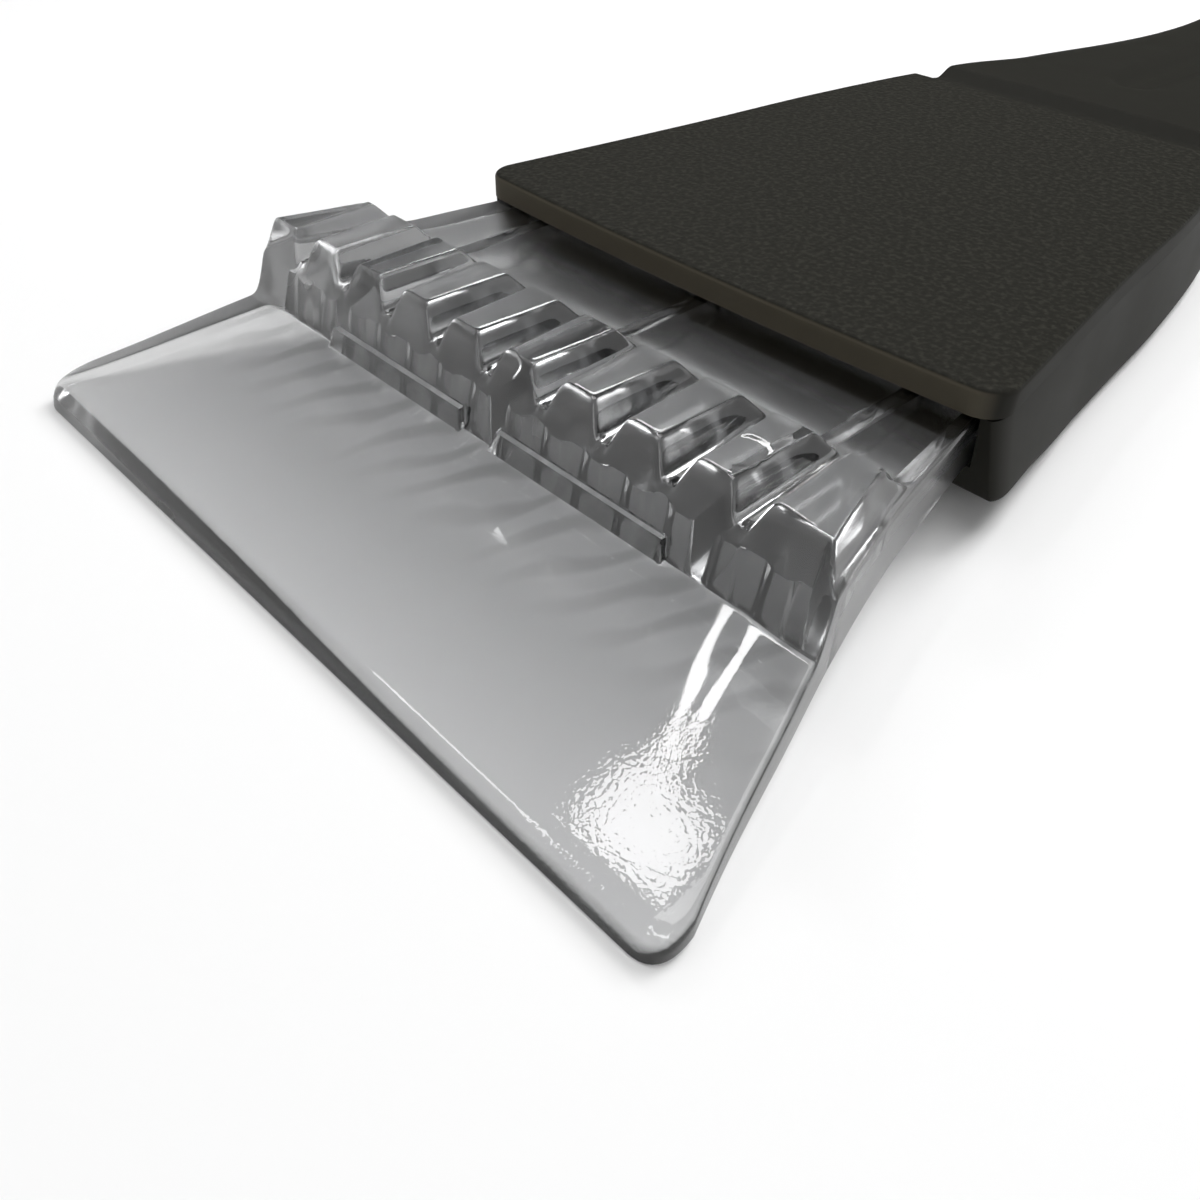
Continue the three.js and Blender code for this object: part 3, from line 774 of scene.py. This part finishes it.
def grooved_block(given, x, run, half):
    """Height of the block: teeth between round-bottomed grooves, sloping to the deck and the sides."""
    pitch, depth, shift = (given[name] for name in ("Tooth Pitch", "Groove Depth", "Groove Shift"))
    reach = (given["Grooves"] - 1.0) / 2.0
    nearest = ((x - shift) / pitch).low(reach).high(-reach).math("ROUND")
    off = abs(x - shift - pitch * nearest)
    bottom = TOOTH_TOP_Z * MM - depth + (run - GROOVE_RUN * MM) * GROOVE_RISE
    arc = off.low(GROOVE_ROUND * math.sin(math.atan(GROOVE_SLOPE)) * MM)
    grooved = bottom + GROOVE_ROUND * MM - ((GROOVE_ROUND * MM) ** 2 - arc * arc).root()
    grooved = grooved + (off - arc) * GROOVE_SLOPE
    back = ((run - TOOTH_BACK_RUN * MM) / ((DECK_RUN - TOOTH_BACK_RUN) * MM)).low(1.0).high(0.0)
    rest = 1.0 - back
    back_slope = rest * rest * ((TOOTH_TOP_Z - DECK_Z) * MM) - back * (BACK_DIP * MM) + DECK_Z * MM
    ends = (half - abs(x) - END_INSET * MM) * END_SLOPE + DECK_Z * MM
    teeth = grooved.low(TOOTH_TOP_Z * MM, TOOTH_BLEND * MM).low(back_slope, BACK_BLEND * MM)
    return teeth.low(ends, END_BLEND * MM).high(DECK_Z * MM, DECK_BLEND * MM)


def low_pads(x, run):
    """Height of the two pads in front of the teeth."""
    pad_end = abs(abs(x) - PAD_MIDDLE * MM)
    front = (run - PAD_FRONT_RUN * MM) * PAD_SLOPE + PAD_FOOT_Z * MM
    sides = (PAD_HALF * MM - pad_end) * PAD_SLOPE + PAD_FOOT_Z * MM
    return front.low(sides, PAD_BLEND * MM).low(PAD_TOP_Z * MM, PAD_BLEND * MM)


def blade_top(given, x, run, half, rim):
    """Height of the upper face: wedge and deck, block, pads, ejector mark and soft rim."""
    plain = (given["Edge Height"] + run * WEDGE_SLOPE).low(DECK_Z * MM, WEDGE_BLEND * MM)
    face = (run - FOOT_RUN * MM) * FACE_SLOPE + FOOT_Z * MM
    outer = (abs(x) - half).step_mm(*END_ZONE)
    block = grooved_block(given, x, run, half).low(face, between(outer, *FACE_BLENDS))
    at_foot = 1.0 - run.step_mm(*FOOT_BLEND_RUNS)
    top = plain.high(block, between(outer, *FOOT_BLENDS) * at_foot + LEAST_BLEND * MM)
    top = top.high(low_pads(x, run), PAD_FILLET * MM)
    mark = apart(x - MARK_PLACE[0] * MM, run - MARK_PLACE[1] * MM)
    top = top - (1.0 - mark.step_mm(*MARK_EDGE)) * (MARK_DEPTH * MM)
    soft = given["Edge Round"] + (1.0 - run.step_mm(*EDGE_SOFT_RUNS)) * (EDGE_SOFTENING * MM)
    return top - edge_fall(rim, soft)


def blade_underside(given, x, run, half, rim):
    """Height of the lower face: wedge, fluted core between its walls and ribs, and the tongue."""
    across = abs(x)
    under = run * UNDERSIDE_SLOPE
    wave = ((x - given["Groove Shift"]) * (math.tau / FLUTE_PITCH / MM)).math("SINE")
    flute = wave / (wave * wave + FLUTE_SOFTNESS).root() * (FLUTE_DEPTH / 2 * MM) + FLUTE_DEPTH / 2 * MM
    lengthwise = (run - CORE_RUNS[0] * MM - flute).low(CORE_RUNS[1] * MM - run)
    to_rib = across.low(abs(across - RIB_PLACE * MM)) - RIB_HALF * MM
    inside = lengthwise.low(half - SIDE_WALL * MM - across).low(to_rib)
    low = under.high((under + inside * CORE_DRAFT).low(CORE_CEILING_Z * MM))
    behind = run.math("GREATER_THAN", (BODY_BACK_RUN + TONGUE_GAP / 2) * MM)
    low = low + (TONGUE_BOTTOM_Z * MM - low) * behind
    return low + edge_fall(rim, given["Edge Round"] * UNDER_ROUND_SHARE)


def blade_tree():
    """Geometry nodes that raise the plan to the blade's upper face and its cored underside."""
    tree = bpy.data.node_groups.new("toothed_blade", "GeometryNodeTree")
    sizes = ("Tooth Pitch", "Groove Depth", "Groove Shift", "Edge Height", "Edge Round")
    given = tree_inputs(tree, Geometry=("Plan",), Float=sizes, Int=("Grooves",), Material=("Finish",))

    def stored(name):
        return Wire.add(tree, "GeometryNodeInputNamedAttribute", {"data_type": "FLOAT"}, {"Name": name})

    place = Wire.add(tree, "GeometryNodeInputPosition")
    x = place.axis("X")
    y = place.axis("Y")
    run = y + LENGTH / 2 * MM
    half = stored("half")
    rim = stored("rim")
    low = blade_underside(given, x, run, half, rim)
    z = low + (blade_top(given, x, run, half, rim) - low) * stored("sheet")
    lean = (z / given["Edge Height"]) * (EDGE_LEAN * MM) * (1.0 - run.step_mm(0, EDGE_LEAN_RUN))
    moved = Wire.add(tree, "ShaderNodeCombineXYZ", inputs={"X": x, "Y": y + lean, "Z": z})
    inputs = {"Geometry": given["Plan"], "Position": moved}
    tree_end(Wire.add(tree, "GeometryNodeSetPosition", inputs=inputs), given["Finish"])
    return tree


def clear_plastic(tint):
    """Polished smoke-clear plastic: waves in the moulding, rubbing and a scuffed corner; painted caustic
    light and shadow in slanted streaks before the block; rougher walls with painted shade, and painted shade
    on the core's front wall.
    """
    constants = {"IOR": 1.585, "Transmission Weight": 1.0}
    material, shader, place = finish_tree("smoke_clear_plastic", tint, 0.03, constants)
    tree = material.node_tree
    x = place.axis("X")
    run = place.axis("Y") + LENGTH / 2 * MM
    sheet = Wire.add(tree, "ShaderNodeAttribute", {"attribute_name": "sheet"}, output="Fac")
    rim = Wire.add(tree, "ShaderNodeAttribute", {"attribute_name": "rim"}, output="Fac")
    wall = 1.0 - rim.step_mm(0, WALL_BAND)
    below = (1.0 - sheet) * run.step_mm(*CORED_FRONT)
    cored = below * (1.0 - run.step_mm(*CORED_BACK))

    worn = 1.0 - apart(x - WORN_SPOT[0] * MM, run - WORN_SPOT[1] * MM).step_mm(*WORN_RADII)
    waves = noise(place, 60, 2, (1.6, 0.5, 1))
    grit = noise(place, 2600, 2)
    scuffs = noise(place, 2000, 1)
    height = waves * 0.45 + grit * 0.005 + scuffs * worn * 0.16
    feed(shader, "Normal", bump(height, 0.25 * MM, 0.35))

    rubbed = noise(place, 160, 4, (1, 0.35, 1)).step(0.45, 0.8)
    dulled = 1.0 - x.step_mm(DULL_SIDE_X, 0)
    feed(shader, "Roughness", rubbed * 0.05 + 0.015 + cored * 0.14 + dulled * 0.1 + wall * 0.2)

    # Painted caustic light and shadow of the teeth: slanted streaks before the block, lighter and darker in
    # turn on the upper face and lighter below
    caustic_wobble = noise(place, 130, 1, (1, 0.2, 1))
    caustic_wave = ((x - run * CAUSTIC_SLANT) * (math.tau / FLUTE_PITCH / MM) + caustic_wobble * 8.0).math("SINE")
    painted_streak_shadow = (1.0 - caustic_wave.step(-1.0, 0.3)) * sheet
    near = run.step_mm(*PAINTED_CAUSTIC_RUNS) * (1.0 - run.step_mm(*FLAT_END_RUNS))
    tone = tinted(near, tint, tinted(painted_streak_shadow, shade_of(tint, 1.1), shade_of(tint, 0.68)))
    # Painted shade: the core's front wall below the block is painted near black, and the side walls much
    # darker
    dark = (below * (1.0 - run.step_mm(*CORE_FRONT_WALL))).high(wall * 0.7)
    feed(shader, "Base Color", tinted(dark, tone, shade_of(tint, 0.07)))

    inputs = {"Color": (*SMOKE, 1), "Density": SMOKE_DENSITY}
    smoke = Wire.add(tree, "ShaderNodeVolumeAbsorption", inputs=inputs)
    tree.links.new(smoke.socket, tree.nodes["Material Output"].inputs["Volume"])
    return material


class SCRAPER_OT_blade(bpy.types.Operator):
    """Builds the clear blade with its row of ice-breaker teeth"""

    bl_idname = "scraper.blade"
    bl_label = "Toothed Blade"

    def execute(self, context):
        settings = context.scene.scraper_blade
        pillow = Pillow(*blade_plan(settings), wall_steps=4)
        mesh = pillow.mesh("clear_blade", 0)
        half = np.where(pillow.run <= BODY_BACK_RUN, blade_half(pillow.run), TONGUE_CLEARANCE)
        keep(mesh, "half", half * MM)
        piece = show("clear_blade", mesh)
        modifier = piece.modifiers.new("toothed_blade", "NODES")
        modifier.node_group = blade_tree()
        values = {
            "Tooth Pitch": settings.tooth_pitch,
            "Groove Depth": settings.groove_depth,
            "Groove Shift": settings.groove_shift,
            "Edge Height": settings.edge_height,
            "Edge Round": settings.edge_round,
            "Grooves": settings.groove_count,
            "Finish": clear_plastic(settings.tint),
        }
        give(modifier, values)
        made_plain(piece)
        holes = [turned("boss_hole", BOSS_HOLE, place) for place in SCREW_PLACES[:2]]
        carve(piece, "DIFFERENCE", *holes)
        settle(piece, "clear_plastic", "scraper_blade")
        return {"FINISHED"}


# Handle

def end_closing(run):
    """How far the round rear end has closed: 0 before it, most at its tip."""
    turn = END_BLUNT * np.clip((run - LENGTH + END_ROUND) / END_ROUND, 0, 1)
    return 1 - np.sqrt(1 - turn * turn)


def front_turn(run, front_run):
    """How far the outline draws in at a rounded front corner."""
    back = np.clip(FRONT_CORNER - (run - front_run), 0, FRONT_CORNER)
    return FRONT_CORNER - np.sqrt(FRONT_CORNER**2 - back**2)


def handle_half(run):
    """Half the handle's width."""
    return through(HANDLE_SIDE, run) * (1 - end_closing(run))


def grip_share(run):
    """0 on the front panel, 1 on the grip."""
    return ease(*GRIP_RUNS, run)


def cover_top(run):
    """Height of the cover along the middle: flat panel, rounded valley, then the falling grip."""
    fine = np.arange(TOP_LINE[0][0] - TOP_LINE_MARGIN, LENGTH + TOP_LINE_MARGIN, TOP_LINE_STEP)
    line = np.where(fine < TOP_LINE[-1][0], np.interp(fine, *zip(*TOP_LINE)), through(GRIP_TOP, fine))
    kernel = np.hanning(VALLEY_SMOOTHING)
    line = np.convolve(line, kernel / kernel.sum(), "same")
    return np.interp(run, fine, line) - END_DROP * end_closing(run)


def handle_plan(front_run, corner_share, inset):
    """Plan grid of one handle half, with close columns along its edges."""
    corner = front_run + FRONT_CORNER * np.linspace(0, 1, CORNER_ROWS) ** 2
    end = LENGTH - END_ROUND * (1 - np.linspace(0, 1, END_ROWS) ** END_CROWDING)
    stations = (front_run + FRONT_CORNER, *VALLEY_RUNS, LENGTH - END_ROUND)
    middle = spaced(*zip(stations, stations[1:], HANDLE_STEPS))
    runs = np.unique(np.round(np.concatenate([corner, middle, end]), 4))
    half = handle_half(runs) - corner_share * front_turn(runs, front_run) - inset
    band = np.minimum(PANEL_BAND + GRIP_BAND * grip_share(runs), half * 0.5)
    inner = (half - band)[:, None] * np.linspace(-1, 1, HANDLE_COLUMNS)
    side = half[:, None] - band[:, None] * BAND_SHARES[::-1]
    x = np.concatenate([-side[:, :0:-1], inner, side[:, 1:]], 1)
    return x, np.broadcast_to(runs[:, None], x.shape)


def rounded(rim, reach, drop):
    """How far an edge falls at a distance from the rim, for a quarter ellipse."""
    turn = 1 - np.clip(rim / reach, 0, 1)
    return drop * (1 - np.sqrt(1 - turn * turn))


def cover_mesh(panel_edge):
    """Closed body of the cover: panel with a bowed front, valley and grip with its recess."""
    pillow = Pillow(*handle_plan(COVER_FRONT_RUN, 1, 0), wall_steps=4)
    x, run = pillow.x, pillow.run
    top = cover_top(run)
    share = grip_share(run)
    reach = panel_edge + (GRIP_EDGE[0] - panel_edge) * share
    drop = panel_edge + (GRIP_EDGE[1] - panel_edge) * share
    drop = np.minimum(drop, top - COVER_SEAM_Z - EDGE_MARGIN)
    front, back, half, depth = RECESS
    past = np.maximum(np.maximum(front + half - run, run - back + half), 0)
    inside = half - np.hypot(x, past)
    top = top - rounded(pillow.rim, reach, drop) - depth * ease(*RECESS_EASE, inside)
    z = COVER_SEAM_Z + (top - COVER_SEAM_Z) * pillow.sheet
    behind = np.clip(1 - (run - COVER_FRONT_RUN) / (PANEL_BACK_RUN - COVER_FRONT_RUN), 0, 1)
    pillow.run = run + COVER_BOW * behind * (x / HANDLE_SIDE[0][1]) ** 2
    return pillow.mesh("grained_cover", z)


def shell_mesh():
    """Closed body of the shell: rounded belly, flared sides and a leaning front."""
    pillow = Pillow(*handle_plan(SHELL_FRONT_RUN, SHELL_CORNER_SHARE, SHELL_INSET), wall_steps=6)
    x, run = pillow.x, pillow.run
    share = grip_share(run)
    low = np.maximum(0, through(BELLY, run)) + END_RISE * end_closing(run)
    at_mouth, behind_mouth, on_grip = SHELL_EDGES
    reach = at_mouth + behind_mouth * ease(*SHELL_EDGE_RUNS, run) + on_grip * share
    low = low + rounded(pillow.rim, reach, reach)
    z = low + (SHELL_SEAM_Z - low) * pillow.sheet
    down = SHELL_SEAM_Z - z
    front = np.clip(1 - (run - SHELL_FRONT_RUN) / FRONT_REACH, 0, 1)
    flare = FLARE / SHELL_SEAM_Z * (1 - share) + FRONT_FLARE * front
    pillow.x = x + np.sign(x) * flare * down
    pillow.run = run + FRONT_LEAN * front * down
    return pillow.mesh("smooth_shell", z)


def leather_charcoal(colour, grain):
    """Charcoal plastic: leather grain on the panel, satin elsewhere, and painted light that makes the front
    face lighter and warmer.
    """
    constants = {"Specular IOR Level": 0.06}
    material, shader, place = finish_tree("leather_charcoal", colour, 0.6, constants)
    run = place.axis("Y") + LENGTH / 2 * MM
    upper = place.axis("Z").step_mm(*PANEL_FACE_Z)
    panel = upper * (1.0 - run.step_mm(*PANEL_END_RUNS))
    # The front face, where light is painted
    front = (1.0 - run.step_mm(*FACE_LIGHT_RUNS)) * (1.0 - upper)

    inputs = {"Vector": place, "Scale": 1 / grain, "Smoothness": 0.6, "Randomness": 1.0}
    cells = Wire.add(place.tree, "ShaderNodeTexVoronoi", {"feature": "SMOOTH_F1"}, inputs, "Distance")
    grained = (1.0 - cells) + noise(place, 0.6 / grain, 2) * 0.6
    fine = noise(place, 5200, 2)
    feed(shader, "Normal", bump(grained * panel * 0.3 + fine * 0.02, 0.4 * MM, 0.8))

    patchy = noise(place, 90, 3)
    speck = noise(place, 1300, 2).step(0.42, 0.72)
    # Painted light: the front face is lighter and warmer, as lit from the front
    painted_face_light = tuple(part * share for part, share in zip(colour, FACE_LIGHT_GAINS))
    tone = tinted(speck * panel * 0.8 + patchy * 0.1, colour, shade_of(colour, 2.1))
    feed(shader, "Base Color", tinted(front, tone, painted_face_light))
    feed(shader, "Roughness", 0.55 + patchy * 0.12 + panel * 0.08)
    return material


def satin_charcoal(colour):
    """Smooth satin charcoal plastic with fine moulding texture and rubbed patches."""
    constants = {"Specular IOR Level": 0.06}
    material, shader, place = finish_tree("satin_charcoal", colour, 0.5, constants)
    fine = noise(place, 5200, 2)
    wave = noise(place, 45, 2)
    feed(shader, "Normal", bump(fine * 0.02 + wave * 0.1, 0.4 * MM, 0.6))
    patchy = noise(place, 80, 4)
    tone = tinted(patchy.step(0.35, 0.75) * 0.5, colour, shade_of(colour, 1.25))
    feed(shader, "Base Color", tone)
    feed(shader, "Roughness", 0.48 + patchy * 0.14)
    return material


class SCRAPER_OT_cover(bpy.types.Operator):
    """Builds the upper half of the handle with its grained panel, valley and recess"""

    bl_idname = "scraper.cover"
    bl_label = "Upper Cover"

    def execute(self, context):
        settings = context.scene.scraper_handle
        mesh = cover_mesh(settings.panel_edge / MM)
        mesh.materials.append(leather_charcoal(settings.colour, settings.grain_size))
        piece = show("grained_cover", mesh)
        sections = [(run, handle_half(run) - HANDLE_WALL, *COVER_HOLLOW_Z) for run in spaced(COVER_HOLLOW)]
        carve(piece, "DIFFERENCE", loft("hollow", sections))
        bosses = []
        for place in SCREW_PLACES:
            top = BOSS_TOPS[0] if place[1] < COVER_HOLLOW[1] else BOSS_TOPS[1]
            bosses.append(turned("boss", [*BOSS_FOOT, (BOSS_RADIUS, top), (0, top)], place))
        carve(piece, "UNION", *bosses)
        carve(piece, "DIFFERENCE", *[turned("bore", BORE, place) for place in SCREW_PLACES])
        settle(piece, "cover_plastic", "upper_cover")
        return {"FINISHED"}


def clamp_rib(run):
    """A rib across the shell that holds the blade's tongue."""
    thick, *section = CLAMP_RIB
    return loft("clamp_rib", [(run - thick, *section), (run + thick, *section)])


def screw_well(place):
    """The space that a screw is driven through, with a chamfer at the belly."""
    face = max(0, float(through(BELLY, place[1])))
    wide = WELL_RADIUS + WELL_CHAMFER
    mouth = [(0, WELL_MOUTH_Z), (wide, WELL_MOUTH_Z), (wide, face), (WELL_RADIUS, face + WELL_CHAMFER)]
    return turned("well", mouth + WELL_INSIDE, place)


class SCRAPER_OT_shell(bpy.types.Operator):
    """Builds the lower half of the handle with its mouth for the blade and its screw wells"""

    bl_idname = "scraper.shell"
    bl_label = "Lower Shell"

    def execute(self, context):
        mesh = shell_mesh()
        mesh.materials.append(satin_charcoal(context.scene.scraper_handle.colour))
        piece = show("smooth_shell", mesh)
        sections = []
        for run in spaced(SHELL_HOLLOW):
            half = float(handle_half(run)) - HANDLE_WALL
            sections.append((run, half, float(through(BELLY, run)) + FLOOR_WALL, ABOVE_SEAM_Z))
        hollow = loft("hollow", sections)
        ribs = [clamp_rib(run) for run in CLAMP_RIB_RUNS]
        posts = [turned("post", POST, place) for place in SCREW_PLACES]
        carve(hollow, "DIFFERENCE", *ribs, *posts)
        sections = [(run, MOUTH_HALF, UNDERSIDE_SLOPE * run - MOUTH_GAP, ABOVE_SEAM_Z) for run in MOUTH_RUNS]
        mouth = loft("mouth", sections)
        wells = [screw_well(place) for place in SCREW_PLACES]
        carve(piece, "DIFFERENCE", hollow, mouth, *wells)
        settle(piece, "shell_plastic", "lower_shell")
        return {"FINISHED"}


# Screws

def thread(angle, z):
    """How far the thread stands out of the shank."""
    ridge = abs((z / THREAD_PITCH - angle / math.tau) % 1 - 0.5)
    return THREAD_DEPTH * max(0, 1 - THREAD_SHARPNESS * ridge) * (THREAD_Z[0] < z < THREAD_Z[1])


def screw_pattern(radius):
    """One self-tapping screw with a pan head below, a cross slot in it and a thread above."""
    dome = []
    for turn in np.linspace(0, math.pi / 2, HEAD_POINTS):
        wide = radius - (radius - HEAD_FLAT) * (1 - math.sin(turn))
        dome.append((wide, HEAD_BOTTOM_Z + HEAD_CROWN * (1 - math.cos(turn))))
    seat = [(radius + out, z) for out, z in HEAD_SEAT]
    shank = [(SHANK_RADIUS, z) for z in np.arange(*SHANK_RINGS)]
    profile = [(0, HEAD_BOTTOM_Z), *dome, *seat, NECK, *shank, *SCREW_TIP]
    middle = LENGTH / 2
    pattern = turned("screw_pattern", profile, (0, middle), thread, SCREW_SIDES)
    arms = [
        loft("slot", [(middle - long, wide, *SLOT_Z), (middle + long, wide, *SLOT_Z)])
        for long, wide in SLOT_ARMS
    ]
    carve(pattern, "DIFFERENCE", *arms)
    return pattern


def screws_tree():
    """Geometry nodes that set one screw on every point, each with its own turn."""
    tree = bpy.data.node_groups.new("screw_set", "GeometryNodeTree")
    given = tree_inputs(tree, Geometry=("Places",), Object=("Screw",), Int=("Seed",), Material=("Finish",))
    shape = Wire.add(tree, "GeometryNodeObjectInfo", inputs={"Object": given["Screw"]}, output="Geometry")
    # Of a Random Value node's sockets, 2 and 3 are the least and greatest number and 8 is the seed
    inputs = {2: 0.0, 3: math.tau, 8: given["Seed"]}
    angle = Wire.add(tree, "FunctionNodeRandomValue", {"data_type": "FLOAT"}, inputs, 1)
    turn = Wire.add(tree, "ShaderNodeCombineXYZ", inputs={"Z": angle})
    inputs = {"Points": given["Places"], "Instance": shape, "Rotation": turn}
    tree_end(Wire.add(tree, "GeometryNodeInstanceOnPoints", inputs=inputs), given["Finish"])
    return tree


def zinc_steel():
    """Zinc-plated steel, dulled in patches, with a fine grain."""
    constants = {"Metallic": 1.0}
    material, shader, place = finish_tree("zinc_steel", ZINC, 0.35, constants)
    patchy = noise(place, 700, 3)
    grain = noise(place, 6000, 2)
    tone = tinted(patchy.step(0.35, 0.7), BRIGHT_ZINC, DULL_ZINC)
    feed(shader, "Base Color", tone)
    feed(shader, "Roughness", 0.28 + patchy * 0.2)
    feed(shader, "Normal", bump(grain, 0.02 * MM, 0.5))
    return material


class SCRAPER_OT_screws(bpy.types.Operator):
    """Builds the five screws that hold the handle's halves together"""

    bl_idname = "scraper.screws"
    bl_label = "Screws"

    def execute(self, context):
        settings = context.scene.scraper_screws
        mesh = bpy.data.meshes.new("screw_set")
        mesh.from_pydata([(x * MM, (run - LENGTH / 2) * MM, 0) for x, run in SCREW_PLACES], [], [])
        piece = show("screw_set", mesh)
        pattern = screw_pattern(settings.head_radius / MM)
        modifier = piece.modifiers.new("screw_set", "NODES")
        modifier.node_group = screws_tree()
        give(modifier, {"Screw": pattern, "Seed": settings.seed, "Finish": zinc_steel()})
        made_plain(piece, SCREW_SHARP_ANGLE)
        remove(pattern)
        settle(piece, "screw_steel", *SCREW_NODES)
        return {"FINISHED"}


# Stage

def sight_lines(tree):
    """Whether a ray comes straight from the camera, by a mirror or through something clear."""
    kinds = ("Is Camera Ray", "Is Glossy Ray", "Is Transmission Ray")
    return [Wire.add(tree, "ShaderNodeLightPath", output=kind) for kind in kinds]


def pale_floor():
    """Matt pale floor that takes the object's shadow and runs out into plain white far away."""
    constants = {"Specular IOR Level": 0.0}
    material, shader, place = finish_tree("pale_floor", (FLOOR_SHADE,) * 3, 1.0, constants)
    tree = material.node_tree
    away = Wire.add(tree, "ShaderNodeVectorMath", {"operation": "LENGTH"}, {0: place}, "Value")
    seen, mirrored, shown_through = sight_lines(tree)
    far = away.step(*FLOOR_FADE) * seen.high(mirrored).high(shown_through)
    white = Wire.add(tree, "ShaderNodeEmission", inputs={"Color": (1, 1, 1, 1), "Strength": 1.0})
    inputs = {0: far, 1: Wire(tree, shader.outputs["BSDF"]), 2: white}
    surface = Wire.add(tree, "ShaderNodeMixShader", inputs=inputs)
    tree.links.new(surface.socket, tree.nodes["Material Output"].inputs["Surface"])
    return material


def floor(size):
    """The square floor that the tool lies on."""
    half = size / 2
    square = ((-half, -half), (half, -half), (half, half), (-half, half))
    mesh = bpy.data.meshes.new("floor")
    mesh.from_pydata([(x, y, FLOOR_Z) for x, y in square], [], [(0, 1, 2, 3)])
    mesh.materials.append(pale_floor())
    return show("floor", mesh)


def room(light):
    """White room with soft light, and a dark flag behind the blade that its clear walls mirror."""
    world = bpy.data.worlds.new("room")
    world.use_nodes = True
    tree = world.node_tree
    tree.nodes.clear()
    seen, mirrored, shown_through = sight_lines(tree)
    spot = Wire.add(tree, "ShaderNodeTexCoord", output="Generated")
    inputs = {0: spot, 1: FLAG_SIDE}
    toward = Wire.add(tree, "ShaderNodeVectorMath", {"operation": "DOT_PRODUCT"}, inputs, "Value")
    low, high = FLAG_DEPTHS
    flag = toward.step(*FLAG_EDGE) * (low - spot.axis("Z").step(*FLAG_HEIGHT) * (low - high))
    level = ((1.0 - flag) * mirrored.high(shown_through).high(light)).high(seen)
    sky = Wire.add(tree, "ShaderNodeBackground", inputs={"Color": (1, 1, 1, 1), "Strength": level})
    result = tree.nodes.new("ShaderNodeOutputWorld")
    tree.links.new(sky.socket, result.inputs["Surface"])
    return world


def hang(name, data, place, right, back):
    """A new object for a lamp or camera, set by its place, its right side and its back."""
    holder = bpy.data.objects.new(name, data)
    bpy.context.scene.collection.objects.link(holder)
    turn = Matrix((right, back.cross(right), back)).transposed().to_4x4()
    holder.matrix_world = Matrix.Translation(place) @ turn
    return holder


def lamp(name, size, place, aim, radiance, along):
    """A rectangular softbox that faces its aim; its second side lies along the given direction."""
    light = bpy.data.lights.new(name, "AREA")
    light.shape = "RECTANGLE"
    light.size, light.size_y = size
    light.energy = radiance * math.pi * size[0] * size[1]
    back = (Vector(place) - Vector(aim)).normalized()
    holder = hang(name, light, place, Vector(along).cross(back).normalized(), back)
    holder.visible_glossy = name not in NOT_MIRRORED


def viewpoint():
    """The camera at the photograph's viewing angle."""
    camera = bpy.data.cameras.new("camera")
    camera.sensor_width = CAMERA_SENSOR
    camera.lens = CAMERA_LENS
    camera.clip_start = CAMERA_NEAR
    azimuth, elevation, roll = (math.radians(angle) for angle in CAMERA_ANGLES)
    flat = math.cos(elevation)
    back = Vector((math.sin(azimuth) * flat, -math.cos(azimuth) * flat, math.sin(elevation)))
    level = Vector((math.cos(azimuth), math.sin(azimuth), 0))
    right = math.cos(roll) * level + math.sin(roll) * back.cross(level)
    return hang("camera", camera, CAMERA_PLACE, right, back)


class SCRAPER_OT_stage(bpy.types.Operator):
    """Builds the pale floor, the soft light and the camera"""

    bl_idname = "scraper.stage"
    bl_label = "Stage"

    def execute(self, context):
        scene = context.scene
        settings = scene.scraper_stage
        scene.view_settings.view_transform = "Standard"
        floor(settings.floor_size)
        scene.world = room(settings.light)
        for values in LAMPS:
            lamp(*values)
        scene.camera = viewpoint()
        return {"FINISHED"}


class SCRAPER_PT_panel(bpy.types.Panel):
    """Lists the scraper's settings and pieces"""

    bl_idname = "SCRAPER_PT_panel"
    bl_label = "Ice Scraper"
    bl_space_type = "VIEW_3D"
    bl_region_type = "UI"
    bl_category = "Ice Scraper"

    def draw(self, context):
        layout = self.layout
        for name in SETTINGS:
            group = getattr(context.scene, name)
            box = layout.box()
            for key in group.__annotations__:
                box.prop(group, key)
        for operator in OPERATORS:
            layout.operator(operator.bl_idname)


SETTINGS = {
    "scraper_blade": BladeSettings,
    "scraper_handle": HandleSettings,
    "scraper_screws": ScrewSettings,
    "scraper_stage": StageSettings,
}
OPERATORS = (SCRAPER_OT_blade, SCRAPER_OT_cover, SCRAPER_OT_shell, SCRAPER_OT_screws, SCRAPER_OT_stage)


def register():
    for kind in (*SETTINGS.values(), *OPERATORS, SCRAPER_PT_panel):
        bpy.utils.register_class(kind)
    for name, kind in SETTINGS.items():
        setattr(bpy.types.Scene, name, PointerProperty(type=kind))


def unregister():
    for name in SETTINGS:
        delattr(bpy.types.Scene, name)
    for kind in (SCRAPER_PT_panel, *OPERATORS, *SETTINGS.values()):
        bpy.utils.unregister_class(kind)


def main():
    register()
    bpy.ops.scraper.blade()
    bpy.ops.scraper.cover()
    bpy.ops.scraper.shell()
    bpy.ops.scraper.screws()
    bpy.ops.scraper.stage()


if __name__ == "__main__":
    main()
